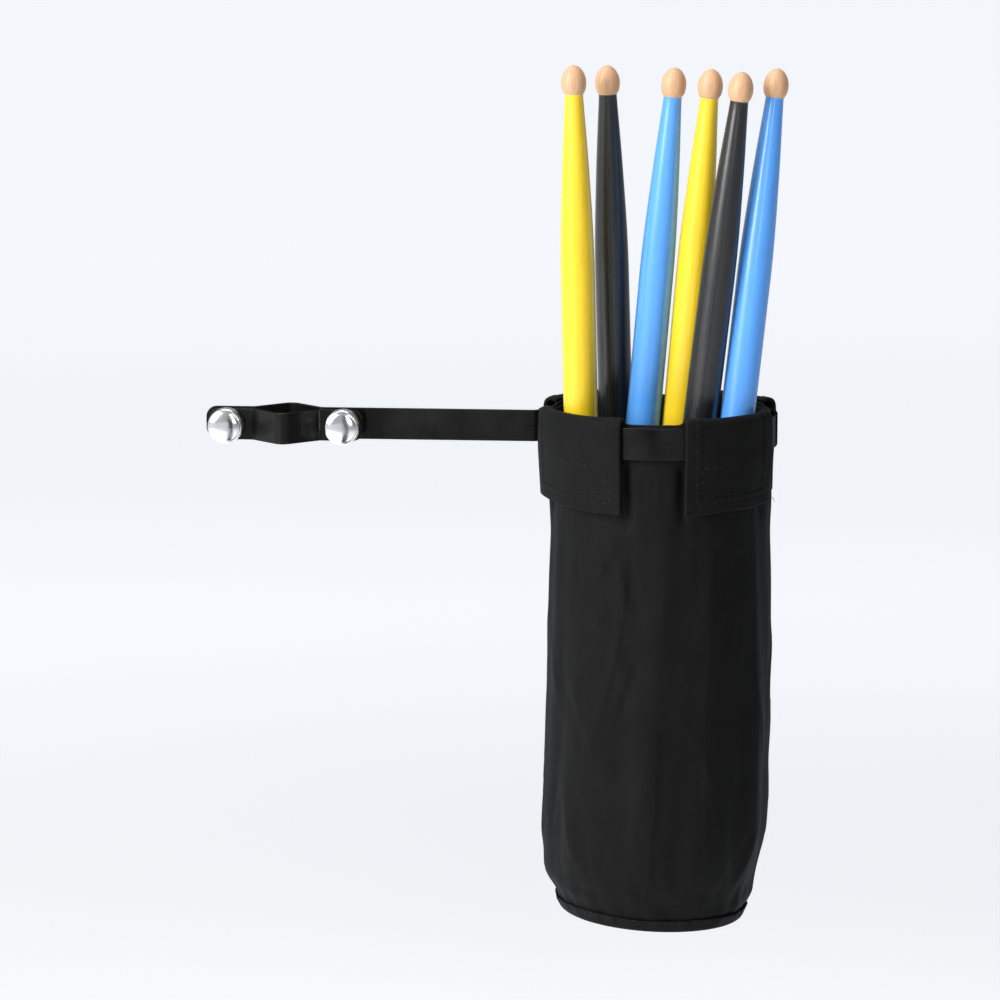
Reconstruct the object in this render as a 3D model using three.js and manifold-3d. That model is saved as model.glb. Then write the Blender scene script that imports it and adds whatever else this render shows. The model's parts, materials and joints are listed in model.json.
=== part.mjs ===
// Drum stick bag: a fabric quiver for drum sticks, hung in a flat-bar mouth ring that a
// flat-bar arm carries from a two-screw V clamp. The clamp grips the round tube of a drum stand.
//
// Millimetres, +Z up. The origin is the centre of the underside of the bag's base.
// +X runs along the arm from the clamp to the bag. -Y is the front, the thumb screw side.
// The clamp and arm are drawn in the clamp's frame, whose origin is on the gripped tube's axis
// at the clamp's mid height. The ring, bag and sticks are drawn in the ring's frame, whose
// origin is the ring's centre. Both origins are at the same height.
import * as THREE from "three";
import { mergeVertices } from "three/addons/utils/BufferGeometryUtils.js";
import Module from "manifold-3d";

const wasm = await Module();
wasm.setup();
const { degToRad } = THREE.MathUtils;

// ---------------------------------------------------------------- driving dimensions
const TUBE_D = 25.4; // gripped tube
const BAR_W = 15; // flat bar: width, along Z
const BAR_T = 2; // flat bar: thickness
const TAB_GAP = 5; // free gap between the arm's and the jaw's tabs
const CLEARANCE = 0.3; // gap left between neighbouring pieces

const TAB_Y = TAB_GAP / 2 + BAR_T / 2; // mid-line of the arm and its clamp tabs
const SEAT_Y = TAB_GAP / 2 + BAR_T + CLEARANCE; // seats of the nuts and, mirrored, of the screw heads

const RING_X = 178; // ring centre from the tube axis
const RING_OUTER_R = 56;
const RING_INNER_R = RING_OUTER_R - BAR_T;

const RIM_Z = 9.4; // top of the cloth folded over the ring
const FLOOR_Z = -232.8; // inside floor of the bag
const BASE_Z = -235.2; // lowest face of the bag

const REVOLVE_SEGMENTS = 48; // facets round the ring and the bag
const SMALL_SEGMENTS = 12; // facets round rivets, their holes and sticks
const SCREW_SEGMENTS = 20; // facets round thumb screws and their holes
const ARC_STEPS = 5; // straight steps in each bend and rounded corner

// ---------------------------------------------------------------- materials
function standard(color, roughness, metalness) {
  return new THREE.MeshStandardMaterial({ color, roughness, metalness });
}
const MATERIALS = {
  coat: standard(0x121214, 0.32, 0.3),
  chrome: standard(0xe6e8ea, 0.12, 1),
  zinc: standard(0xb8bcc0, 0.35, 1),
  cloth: standard(0x1c1c1d, 0.88, 0),
  tape: standard(0x101011, 0.95, 0),
  binding: standard(0x161617, 0.85, 0),
};

// ---------------------------------------------------------------- frames
const root = new THREE.Group();
const clampFrame = new THREE.Group();
clampFrame.position.set(-RING_X, -TAB_Y, -BASE_Z);
root.add(clampFrame);
const ringFrame = new THREE.Group();
ringFrame.position.set(RING_X, TAB_Y, 0);
clampFrame.add(ringFrame);

// ---------------------------------------------------------------- solids
function toSolid(geometry) {
  // without normals and UVs, vertices along the seams weld into a closed mesh
  geometry.deleteAttribute("normal");
  geometry.deleteAttribute("uv");
  const welded = mergeVertices(geometry, 1e-4);
  return new wasm.Manifold(
    new wasm.Mesh({
      numProp: 3,
      vertProperties: new Float32Array(welded.attributes.position.array),
      triVerts: new Uint32Array(welded.index.array),
    }),
  );
}

function toGeometry(solid) {
  const mesh = solid.getMesh();
  const geometry = new THREE.BufferGeometry();
  const positions = new Float32Array(mesh.vertProperties);
  geometry.setAttribute("position", new THREE.BufferAttribute(positions, 3));
  geometry.setIndex(new THREE.BufferAttribute(new Uint32Array(mesh.triVerts), 1));
  geometry.computeVertexNormals();
  return geometry;
}

function addMesh(parent, name, geometry, material) {
  const mesh = new THREE.Mesh(geometry, material);
  mesh.name = name;
  parent.add(mesh);
  return mesh;
}

function addPiece(parent, name, solid, material) {
  addMesh(parent, name, toGeometry(solid), material);
}

const toVectors = (points) => points.map(([x, y]) => new THREE.Vector2(x, y));

// [radius, y] profile turned about +Y; it has to run upwards on the outside
function latheAboutY(profile, segments) {
  return new THREE.LatheGeometry(toVectors(profile), segments);
}

// closed [radius, z] profile turned about +Z; it has to run upwards on the outside
function revolve(profile) {
  const geometry = latheAboutY([...profile, profile[0]], REVOLVE_SEGMENTS);
  return toSolid(geometry.rotateX(Math.PI / 2));
}

function extrude(points, depth) {
  const shape = new THREE.Shape(toVectors(points));
  return new THREE.ExtrudeGeometry(shape, { depth, bevelEnabled: false });
}

// [x, y] polygon pushed from z0 to z1
function prism(points, z0, z1) {
  return toSolid(extrude(points, z1 - z0).translate(0, 0, z0));
}

// round bar at height z = 0, along Y from y0 to y1
function cylinderAlongY(radius, x, y0, y1) {
  const geometry = new THREE.CylinderGeometry(radius, radius, y1 - y0, SCREW_SEGMENTS);
  return toSolid(geometry.translate(x, (y0 + y1) / 2, 0));
}

// points on an arc about the frame's origin, angles in degrees
function arcPoints(radius, startAngle, stepAngle, count) {
  return Array.from({ length: count }, (_, i) => {
    const angle = degToRad(startAngle + stepAngle * i);
    return [radius * Math.cos(angle), radius * Math.sin(angle)];
  });
}

// ---------------------------------------------------------------- flat bar
// [x, y, bend radius] corners with each bend turned into an arc; end points have no radius
function bendLine(corners) {
  return corners.flatMap(([x, y, radius], i) => {
    if (!radius) return [[x, y]];
    const corner = new THREE.Vector2(x, y);
    const [toPrevious, toNext] = [corners[i - 1], corners[i + 1]].map(([endX, endY]) =>
      new THREE.Vector2(endX, endY).sub(corner).normalize(),
    );
    const halfAngle = Math.acos(toPrevious.dot(toNext)) / 2;
    const tangentLength = radius / Math.tan(halfAngle);
    const bisector = toPrevious.clone().add(toNext).normalize();
    const centre = corner.clone().addScaledVector(bisector, radius / Math.sin(halfAngle));
    const start = corner.clone().addScaledVector(toPrevious, tangentLength).sub(centre);
    const end = corner.clone().addScaledVector(toNext, tangentLength).sub(centre);
    const sweep = (Math.PI - 2 * halfAngle) * Math.sign(start.cross(end));
    return Array.from({ length: ARC_STEPS + 1 }, (_, step) => {
      const angle = (sweep * step) / ARC_STEPS;
      return [
        centre.x + start.x * Math.cos(angle) - start.y * Math.sin(angle),
        centre.y + start.x * Math.sin(angle) + start.y * Math.cos(angle),
      ];
    });
  });
}

// flat bar standing on edge along a mid-line, mitred at every point
function flatBar(line) {
  const offsets = line.map(([x, y], i) => {
    const [previousX, previousY] = line[Math.max(0, i - 1)];
    const [nextX, nextY] = line[Math.min(line.length - 1, i + 1)];
    const chord = new THREE.Vector2(nextX - previousX, nextY - previousY).normalize();
    const incoming = new THREE.Vector2(x - previousX, y - previousY).normalize();
    const reach = BAR_T / 2 / (i > 0 ? incoming.dot(chord) : 1);
    return [-chord.y * reach, chord.x * reach];
  });
  const side = (sign) =>
    line.map(([x, y], i) => [x + sign * offsets[i][0], y + sign * offsets[i][1]]);
  return prism([...side(1), ...side(-1).reverse()], -BAR_W / 2, BAR_W / 2);
}

// ---------------------------------------------------------------- clamp shapes
const SCREW_X = 28; // each thumb screw's distance from the tube axis
const SCREW_SIDES = [["left", -SCREW_X], ["right", SCREW_X]];
const SCREW_HOLE_R = 3.4;
const TAB_CORNER_R = 5;
const ARM_END_X = -39.5; // free end of the arm's clamp tab
const JAW_HALF_L = 37; // half the length of the loose jaw

const V_APEX_Y = ((TUBE_D + BAR_T) / 2) * Math.SQRT2; // mid-line corner where the 45° flanks meet
const V_END_X = V_APEX_Y - TAB_Y; // where the flanks meet the tabs
// [x, y, bend radius] of the arm's V
const V_CORNERS = [
  [-V_END_X, TAB_Y, 3],
  [0, V_APEX_Y, 4],
  [V_END_X, TAB_Y, 3],
];

// block along Y from x0 to x1, as wide as the bar, with rounded corners in XZ
function roundedBlock(x0, x1) {
  const [left, right] = [x0 + TAB_CORNER_R, x1 - TAB_CORNER_R];
  const top = BAR_W / 2 - TAB_CORNER_R;
  const halfDepth = 60; // well past the bar on both sides
  const centres = [[right, top], [left, top], [left, -top], [right, -top]];
  const outline = centres.flatMap(([x, z], quarter) =>
    arcPoints(TAB_CORNER_R, 90 * quarter, 90 / ARC_STEPS, ARC_STEPS + 1).map(
      ([arcX, arcZ]) => [x + arcX, z + arcZ],
    ),
  );
  const geometry = extrude(outline, 2 * halfDepth);
  return toSolid(geometry.rotateX(Math.PI / 2).translate(0, halfDepth, 0));
}

// rounds a clamp bar's ends at x0 and x1 and drills its two screw holes
function finishClampBar(clampBar, x0, x1) {
  let finished = clampBar.intersect(roundedBlock(x0, x1));
  for (const [, x] of SCREW_SIDES) {
    finished = finished.subtract(cylinderAlongY(SCREW_HOLE_R, x, -10, 10));
  }
  return finished;
}

// ---------------------------------------------------------------- arm, ring and rivets
const FLANGE_R = RING_OUTER_R + CLEARANCE + BAR_T / 2; // mid-line of the arm's curved flange
const FLANGE_ANGLES = [6.2, 8.6, 11, 13.4]; // clockwise from -X about the ring centre
const RIVET_ANGLE = degToRad(180 - 9.4);
const RIVETS = [["upper", 3.8], ["lower", -3.8]]; // [name, z]
const RIVET_HOLE_R = 1.9;
const RIVET_HOLE_SPAN = [50, 62]; // radii about the ring centre
const RIVET_SEAT_R = RING_OUTER_R + CLEARANCE + BAR_T + 0.25; // underside of the outer head
// [rivet radius, distance from the ring centre]
const RIVET_PROFILE = [
  [0, 53.35], [2.3, 53.35], [2.3, 53.6], [1.5, 53.7],
  [1.5, RIVET_SEAT_R], [3.1, RIVET_SEAT_R], [2.6, RIVET_SEAT_R + 0.8],
  [1.4, RIVET_SEAT_R + 1.35], [0, RIVET_SEAT_R + 1.5],
];

// turns a shape drawn along +Y to point outwards from the ring centre at the rivets
function atRivet(geometry, z) {
  return toSolid(geometry.rotateZ(RIVET_ANGLE - Math.PI / 2).translate(0, 0, z));
}

function rivetHole(z) {
  const [inner, outer] = RIVET_HOLE_SPAN;
  const geometry = new THREE.CylinderGeometry(
    RIVET_HOLE_R, RIVET_HOLE_R, outer - inner, SMALL_SEGMENTS,
  );
  return atRivet(geometry.translate(0, (inner + outer) / 2, 0), z);
}

function addArm() {
  const flangeX = RING_X - FLANGE_R;
  const line = bendLine([
    [ARM_END_X, TAB_Y],
    ...V_CORNERS,
    [flangeX, TAB_Y, 3.5],
    [flangeX + 0.35, TAB_Y + 6.3], // only aims the last bend
  ]).slice(0, -1);
  for (const degrees of FLANGE_ANGLES) {
    const angle = degToRad(degrees);
    line.push([RING_X - FLANGE_R * Math.cos(angle), TAB_Y + FLANGE_R * Math.sin(angle)]);
  }
  // the block runs on past the flange, so only the free end is rounded
  let arm = finishClampBar(flatBar(line), ARM_END_X, RING_X);
  for (const [, z] of RIVETS) arm = arm.subtract(rivetHole(z).translate([RING_X, TAB_Y, 0]));
  addPiece(clampFrame, "support_arm", arm, MATERIALS.coat);
}

function addRing() {
  const top = BAR_W / 2;
  let ring = revolve([
    [RING_INNER_R, -top], [RING_OUTER_R, -top], [RING_OUTER_R, top], [RING_INNER_R, top],
  ]);
  for (const [, z] of RIVETS) ring = ring.subtract(rivetHole(z));
  addPiece(ringFrame, "mouth_ring", ring, MATERIALS.coat);
}

// the rivets hold the ring to the arm's flange
function addRivets() {
  for (const [name, z] of RIVETS) {
    const rivet = atRivet(latheAboutY(RIVET_PROFILE, SMALL_SEGMENTS), z);
    addPiece(ringFrame, "ring_rivet_" + name, rivet, MATERIALS.coat);
  }
}

// ---------------------------------------------------------------- jaw, thumb screws and nuts
const SHANK_R = 3; // M6
const SHANK_L = 20;
const HEAD_R = 8.5;
const HEAD_L = 10;
const NUT_ACROSS_FLATS = 10;
const NUT_T = 5;
const NUT_HOLE_R = 3.35;
// [radius, y from the head's seat], from the head's crown to the end of the shank
const SCREW_PROFILE = [
  [0, -HEAD_L], [4.6, -HEAD_L + 0.35], [7.7, -HEAD_L + 1.1], [HEAD_R, -HEAD_L + 2.1],
  [HEAD_R, -0.9], [7.6, 0], [SHANK_R, 0],
  [SHANK_R, SHANK_L - 0.8], [2.4, SHANK_L], [0, SHANK_L],
];

// the jaw's V is the arm's, turned half a turn about the tube axis
function addJaw() {
  const line = bendLine([
    [JAW_HALF_L, -TAB_Y],
    ...V_CORNERS.map(([x, y, radius]) => [-x, -y, radius]),
    [-JAW_HALF_L, -TAB_Y],
  ]);
  const jaw = finishClampBar(flatBar(line), -JAW_HALF_L, JAW_HALF_L);
  addPiece(clampFrame, "clamp_jaw", jaw, MATERIALS.coat);
}

function addThumbScrew(side, x) {
  const geometry = latheAboutY(SCREW_PROFILE, SCREW_SEGMENTS).translate(x, -SEAT_Y, 0);
  addPiece(clampFrame, "thumb_screw_" + side, toSolid(geometry), MATERIALS.chrome);
}

function addNut(side, x) {
  const cornerR = NUT_ACROSS_FLATS / Math.sqrt(3);
  const hexagon = new THREE.CylinderGeometry(cornerR, cornerR, NUT_T, 6);
  const hole = cylinderAlongY(NUT_HOLE_R, x, SEAT_Y - 1, SEAT_Y + NUT_T + 1);
  const nut = toSolid(hexagon.translate(x, SEAT_Y + NUT_T / 2, 0)).subtract(hole);
  addPiece(clampFrame, "clamp_nut_" + side, nut, MATERIALS.zinc);
}

// ---------------------------------------------------------------- bag
const CLOTH_T = 1.5; // wall cloth with its lining
const MOUTH_R = 52.9; // outside of the wall within the ring
const MOUTH_Z = 8.4; // top of the plain wall
const WALL_LOW_R = 43.3;
const WALL_LOW_Z = -234;
const FLAP_LOW_Z = -33; // lower edge of the flaps

// wall outside, upwards: [radius, z]
const WALL_OUTSIDE = [
  [WALL_LOW_R, WALL_LOW_Z], [47.4, -224.5], [50.4, -214.5], [53.6, -199], [53.9, -187],
  [53.6, -156], [52.9, -126], [52.5, -76], [51.7, -33], [51.9, -18],
  [MOUTH_R, -9], [MOUTH_R, MOUTH_Z],
];
// wall inside, downwards: [radius before the cloth's thickness is taken off, z]
const WALL_INSIDE = [
  [MOUTH_R, MOUTH_Z], [MOUTH_R, -9], [51.8, -25], [52.9, -126],
  [53.9, -187], [50.4, -214.5], [WALL_LOW_R, WALL_LOW_Z],
];
// closed [radius, z] sections
const FOLD_SECTION = [
  [MOUTH_R - CLOTH_T, 7.85], [56.2, 7.85], [56.2, RIM_Z - 0.4],
  [55.6, RIM_Z], [52.2, RIM_Z], [MOUTH_R - CLOTH_T, RIM_Z - 0.8],
];
const BINDING_SECTION = [
  [39.4, BASE_Z], [43.9, BASE_Z], [44.7, BASE_Z + 0.8], [46.9, -229.2],
  [45.85, -229], [43.65, -234.3], [39.4, -234.3],
];
const FLAP_SECTION = [
  [56.9, 7.4], [56.9, -6], [56.5, -18], [55.6, FLAP_LOW_Z],
  [57.2, FLAP_LOW_Z], [58.2, -18], [58.8, -6], [58.7, 7.4],
];
const HOOK_SECTION = [[54.9, -12], [54, -31], [55.3, -31], [56.15, -18], [56.3, -12]];
const LOOP_SECTION = [
  [52.95, -12], [52.25, -18], [52.05, -31], [53, -31], [53.2, -18], [53.8, -12],
];
// fold-over flaps: [name, start, end], degrees anticlockwise from +X seen from above
const FLAPS = [
  ["back_right", 22, 75],
  ["back_left", 105, 165],
  ["front_left", 195, 255],
  ["front_right", 285, 338],
];
// bands cut to each flap's span: [name prefix, band, degrees left bare at each end, material]
const FLAP_LAYERS = [
  ["flap_", revolve(FLAP_SECTION), 0, MATERIALS.cloth],
  ["hook_tape_", revolve(HOOK_SECTION), 6, MATERIALS.tape],
  ["loop_tape_", revolve(LOOP_SECTION), 4, MATERIALS.tape],
];

// wedge about the ring's axis, larger than the bag's mouth and flaps
function wedge(start, end) {
  const steps = Math.ceil((end - start) / 12);
  return prism([[0, 0], ...arcPoints(90, start, (end - start) / steps, steps + 1)], -60, 20);
}

function addWall() {
  const inside = WALL_INSIDE.map(([radius, z]) => [radius - CLOTH_T, z]);
  let wall = revolve([...WALL_OUTSIDE, ...inside]);
  // the cloth folds outwards over the ring where each flap begins
  const fold = revolve(FOLD_SECTION);
  for (const [, start, end] of FLAPS) wall = wall.add(fold.intersect(wedge(start, end)));
  addPiece(ringFrame, "bag_wall", wall, MATERIALS.cloth);
}

// floor panel: a plug inside the binding's lip and a wider disc above it
function addBase() {
  const corners = 37;
  const disc = (radius, z0, z1) => prism(arcPoints(radius, 0, 360 / corners, corners), z0, z1);
  const base = disc(39, BASE_Z, -233.8).add(disc(41.2, -233.9, FLOOR_Z));
  addPiece(ringFrame, "bag_base", base, MATERIALS.cloth);
}

function addBinding() {
  addPiece(ringFrame, "base_binding", revolve(BINDING_SECTION), MATERIALS.binding);
}

// each flap with the hook tape behind it and the loop tape on the wall
function addFlap(name, start, end) {
  for (const [prefix, band, margin, material] of FLAP_LAYERS) {
    const piece = band.intersect(wedge(start + margin, end - margin));
    addPiece(ringFrame, prefix + name, piece, material);
  }
}

// ---------------------------------------------------------------- drum sticks
const FOOT_LIFT = 1.3; // foot centre above the floor
const STICK_TURN = degToRad(8); // turns the stick layout about +Z
const YELLOW = 0xf4dd2c;
const BLACK = 0x2a2c30;
const BLUE = 0x4f9df0;
// [radius, distance from the foot]: 16 mm thick, 405 mm long
const STICK_PROFILE = [
  [0, 0], [5.8, 0], [7.5, 1.2], [8, 3.6], [8, 312], [7.3, 336], [5.9, 363],
  [4.2, 391.2], [5.4, 393.6], [5.6, 397.4], [4.1, 402.4], [0, 405],
];
// [name, colour, foot x, foot y, rim x, rim y] from the ring centre, before the turn
const STICKS = [
  ["yellow_left", YELLOW, -32, -5.9, -38.6, -16.3],
  ["black_left", BLACK, -11.9, 30.4, -20.4, 9.4],
  ["blue_middle", BLUE, -26.9, 10.6, -7.8, -5.9],
  ["yellow_right", YELLOW, -8.9, 13.5, 9.4, -7.4],
  ["black_right", BLACK, -8.2, -5.3, 17.6, -22.5],
  ["blue_right", BLUE, 8.6, -26.6, 34.8, -24],
];

function addStick(name, colour, footX, footY, rimX, rimY) {
  const up = new THREE.Vector3(0, 0, 1);
  const foot = new THREE.Vector3(footX, footY, FLOOR_Z).applyAxisAngle(up, STICK_TURN);
  const rim = new THREE.Vector3(rimX, rimY, RIM_Z).applyAxisAngle(up, STICK_TURN);
  const lean = rim.sub(foot).normalize();
  const geometry = latheAboutY(STICK_PROFILE, SMALL_SEGMENTS);
  const stick = addMesh(ringFrame, "drumstick_" + name, geometry, standard(colour, 0.3, 0));
  stick.quaternion.setFromUnitVectors(new THREE.Vector3(0, 1, 0), lean);
  stick.position.copy(foot);
  stick.position.z += FOOT_LIFT;
}

// ---------------------------------------------------------------- assembly
addArm();
addRing();
addRivets();
addJaw();
for (const [side, x] of SCREW_SIDES) {
  addThumbScrew(side, x);
  addNut(side, x);
}
addWall();
addBase();
addBinding();
for (const flap of FLAPS) addFlap(...flap);
for (const stick of STICKS) addStick(...stick);

export default root;
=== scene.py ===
"""A round cloth bag of drum sticks, hung in a steel ring on an arm that clamps to a tube.

+Z is up and the frame's origin lies under the bag. The clamp is to the left (-X) and the front
faces -Y. Shapes are worked out in millimetres, in the ring's frame or the clamp's frame, and
moved to the part's frame when their meshes are made. Angles about the bag are in degrees from
+X, counter-clockwise from above.
"""

import json
import math

import bmesh
import bpy
import numpy as np
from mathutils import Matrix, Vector


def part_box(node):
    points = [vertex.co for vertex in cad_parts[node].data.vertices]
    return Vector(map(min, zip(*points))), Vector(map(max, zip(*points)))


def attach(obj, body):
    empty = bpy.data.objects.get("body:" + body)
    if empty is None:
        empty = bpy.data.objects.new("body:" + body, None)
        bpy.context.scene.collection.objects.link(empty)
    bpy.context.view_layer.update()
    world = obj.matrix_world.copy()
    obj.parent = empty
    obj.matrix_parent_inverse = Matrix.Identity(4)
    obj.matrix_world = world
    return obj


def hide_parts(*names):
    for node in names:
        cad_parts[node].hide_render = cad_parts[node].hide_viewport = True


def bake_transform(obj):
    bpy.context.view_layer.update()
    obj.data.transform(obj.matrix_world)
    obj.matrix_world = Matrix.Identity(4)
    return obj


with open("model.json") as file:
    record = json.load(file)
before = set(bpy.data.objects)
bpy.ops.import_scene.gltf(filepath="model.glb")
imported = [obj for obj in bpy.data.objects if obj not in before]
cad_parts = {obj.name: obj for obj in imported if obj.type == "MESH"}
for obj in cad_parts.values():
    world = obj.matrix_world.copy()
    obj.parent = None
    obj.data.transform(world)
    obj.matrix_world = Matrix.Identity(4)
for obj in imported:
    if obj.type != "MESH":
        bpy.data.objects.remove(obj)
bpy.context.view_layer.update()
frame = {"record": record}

stitch_random = np.random.default_rng(52)
TAU = 2 * math.pi
MM = 0.001

# Where the ring's frame (its centre) and the clamp's frame (the axis of the gripped tube,
# midway between the faces that hold it) lie in the part's frame.
ring_low, ring_high = (np.array(corner, float) * 1000 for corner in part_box("mouth_ring"))
RING = np.round((ring_low + ring_high) / 2, 2)
tube_faces = [
    np.array(mount["pos_m"], float) * 1000
    for mount in frame["record"]["mounts"]
    if mount["name"].startswith("tube_face_")
]
CLAMP = np.round(np.append(np.mean(tube_faces, 0)[:2], RING[2]), 2)


# ------------------------------------------------------------------ curves and numbers
rad = np.radians


def smooth(start, end, x):
    """0 at start, 1 at end, level at both."""
    share = np.clip((np.asarray(x, float) - start) / (end - start), 0, 1)
    return share * share * (3 - 2 * share)


def bell(x, centre, width):
    return np.exp(-(((x - centre) / width) ** 2))


def unit(vectors):
    return vectors / np.linalg.norm(vectors, axis=-1, keepdims=True)


def run_lengths(points):
    """Length along a run of points, at each point."""
    return np.r_[0, np.cumsum(np.linalg.norm(np.diff(points, axis=0), axis=1))]


def polar(radius, deg, z):
    return np.stack([radius * np.cos(rad(deg)), radius * np.sin(rad(deg)), z + 0 * deg], -1)


def outward(deg):
    return polar(1.0, deg, 0.0)


def angle_from(deg, middle):
    """Signed angle from a middle angle, -180 to 180."""
    return np.mod(deg - middle + 180, 360) - 180


def spline(xs, ys):
    """A smooth curve through the points (Catmull-Rom on uneven steps), as a function."""
    xs, ys = np.asarray(xs, float), np.asarray(ys, float)
    slopes = np.gradient(ys, xs)

    def curve(x):
        x = np.clip(np.asarray(x, float), xs[0], xs[-1])
        i = np.clip(np.searchsorted(xs, x, side="right") - 1, 0, len(xs) - 2)
        step = xs[i + 1] - xs[i]
        t = (x - xs[i]) / step
        return (
            ys[i] * (2 * t**3 - 3 * t**2 + 1)
            + slopes[i] * step * (t**3 - 2 * t**2 + t)
            + ys[i + 1] * (-2 * t**3 + 3 * t**2)
            + slopes[i + 1] * step * (t**3 - t**2)
        )

    return curve


def path_spline(points, count):
    """Evenly spaced points along a smooth curve through (radius, z) points, and its length."""
    points = np.asarray(points, float)
    stations = run_lengths(points)
    fine = np.linspace(0, stations[-1], 800)
    path = np.stack([spline(stations, points[:, i])(fine) for i in (0, 1)], -1)
    lengths = run_lengths(path)
    even = np.linspace(0, lengths[-1], count)
    return np.stack([np.interp(even, lengths, path[:, i]) for i in (0, 1)], -1), lengths[-1]


def edge_steps(count, length, radius):
    """Positions along a side, 0 to 1, with close steps inside the rounded edge at both ends."""
    edge = np.array([0, 0.08, 0.3, 0.62, 1.0]) * radius / length
    middle = np.linspace(radius / length, 1 - radius / length, count)[1:-1]
    return np.r_[edge, middle, (1 - edge)[::-1]]


def edge_round(share, length, radius):
    """Share of the full thickness (0 to 1) near the two ends of a side."""
    depth = np.minimum(share, 1 - share) * length / radius
    short = np.clip(1 - depth, 0, 1)
    return np.sqrt(np.clip(1 - short * short, 0.02, 1))


def round_corners(corners, steps):
    """Quarter arcs from (x, y, radius, start angle), joined into one outline."""
    return [
        (x + radius * math.cos(angle), y + radius * math.sin(angle))
        for x, y, radius, start in corners
        for angle in rad(start + 90 * np.arange(steps + 1) / steps)
    ]


# ------------------------------------------------------------------ meshes
def link(name, data):
    obj = bpy.data.objects.new(name, data)
    bpy.context.scene.collection.objects.link(obj)
    return obj


def tell(obj, body="holder", replaces=None):
    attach(obj, body)
    if replaces:
        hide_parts(replaces)


def set_sharp(mesh, angle):
    bm = bmesh.new()
    bm.from_mesh(mesh)
    for edge in bm.edges:
        edge.smooth = len(edge.link_faces) == 2 and edge.calc_face_angle(0) < math.radians(angle)
    for face in bm.faces:
        face.smooth = True
    bm.to_mesh(mesh)
    bm.free()


def weight_normals(obj):
    obj.modifiers.new("weighted", "WEIGHTED_NORMAL").keep_sharp = True


def new_mesh(name, verts, faces, mat, shift=RING, uv=None, tip=None, sharp=None):
    """An object from millimetre points. uv holds a list of (u, v) in millimetres per face;
    tip is a second material and each face's material index."""
    mesh = bpy.data.meshes.new(name)
    points = (np.asarray(verts, float) + shift) * MM
    mesh.from_pydata(points.tolist(), [], [tuple(int(i) for i in face) for face in faces])
    if uv is not None:
        flat = np.array([pair for face in uv for pair in face], np.float32).ravel()
        mesh.uv_layers.new(name="uv_mm").data.foreach_set("uv", flat)
    mesh.materials.append(mat)
    if tip:
        mesh.materials.append(tip[0])
        mesh.polygons.foreach_set("material_index", np.asarray(tip[1], np.int32))
    mesh.polygons.foreach_set("use_smooth", np.ones(len(mesh.polygons), bool))
    mesh.validate()
    bm = bmesh.new()
    bm.from_mesh(mesh)
    bmesh.ops.recalc_face_normals(bm, faces=bm.faces)
    bm.to_mesh(mesh)
    bm.free()
    if sharp:
        set_sharp(mesh, sharp)
    return link(name, mesh)


def quad_uv(u_start, u_end, v_start, v_end):
    return [(u_start, v_start), (u_end, v_start), (u_end, v_end), (u_start, v_end)]


def around(count, radius):
    """U values round a ring, in millimetres."""
    return np.arange(count + 1) * TAU * radius / count


def torus_mesh(name, grid, u_mm, v_mm, mat, shift=RING, sharp=None):
    """A (u, v, xyz) grid closed both ways; u_mm and v_mm have one value more than the grid."""
    u_count, v_count = grid.shape[:2]
    faces, uv = [], []
    for i in range(u_count):
        row, next_row = i * v_count, (i + 1) % u_count * v_count
        for j in range(v_count):
            k = (j + 1) % v_count
            faces.append((row + j, next_row + j, next_row + k, row + k))
            uv.append(quad_uv(u_mm[i], u_mm[i + 1], v_mm[j], v_mm[j + 1]))
    return new_mesh(name, grid.reshape(-1, 3), faces, mat, shift, uv, sharp=sharp)


def plate(name, surface, counts, size, thick, mat, edge, relief=None):
    """A closed sheet with rounded edges. surface(across, down) gives points and outward normals
    for shares 0 to 1; relief(across, down) adds to the outside face."""
    across = edge_steps(counts[0], size[0], edge)
    down = edge_steps(counts[1], size[1], edge)
    aa, dd = np.meshgrid(across, down, indexing="ij")
    middle, normal = surface(aa, dd)
    half = thick / 2 * edge_round(aa, size[0], edge) * edge_round(dd, size[1], edge)
    extra = relief(aa, dd) * (half / (thick / 2)) if relief else 0
    outside = middle + normal * (half + extra)[..., None]
    inside = middle - normal * half[..., None]
    grid = np.concatenate([outside, inside[:, ::-1]], 1)
    u_mm = across * size[0]
    v_mm = np.r_[down * size[1], size[1] + 2 + (1 - down[::-1]) * size[1]]

    rows, loop = grid.shape[:2]
    faces, uv = [], []
    for i in range(rows - 1):
        for j in range(loop):
            k = (j + 1) % loop
            row, next_row = i * loop, (i + 1) * loop
            faces.append((row + j, next_row + j, next_row + k, row + k))
            uv.append(quad_uv(u_mm[i], u_mm[i + 1], v_mm[j], v_mm[k if k else j]))
    for i in (0, rows - 1):
        row, back = i * loop, (i + 1) * loop - 1
        for j in range(loop // 2 - 1):
            faces.append((row + j, row + j + 1, back - 1 - j, back - j))
            near, far = (u_mm[i], u_mm[i] + 1)
            low, high = (v_mm[j], v_mm[j + 1])
            uv.append([(near, low), (near, high), (far, high), (far, low)])
    return new_mesh(name, grid.reshape(-1, 3), faces, mat, uv=uv)


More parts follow.
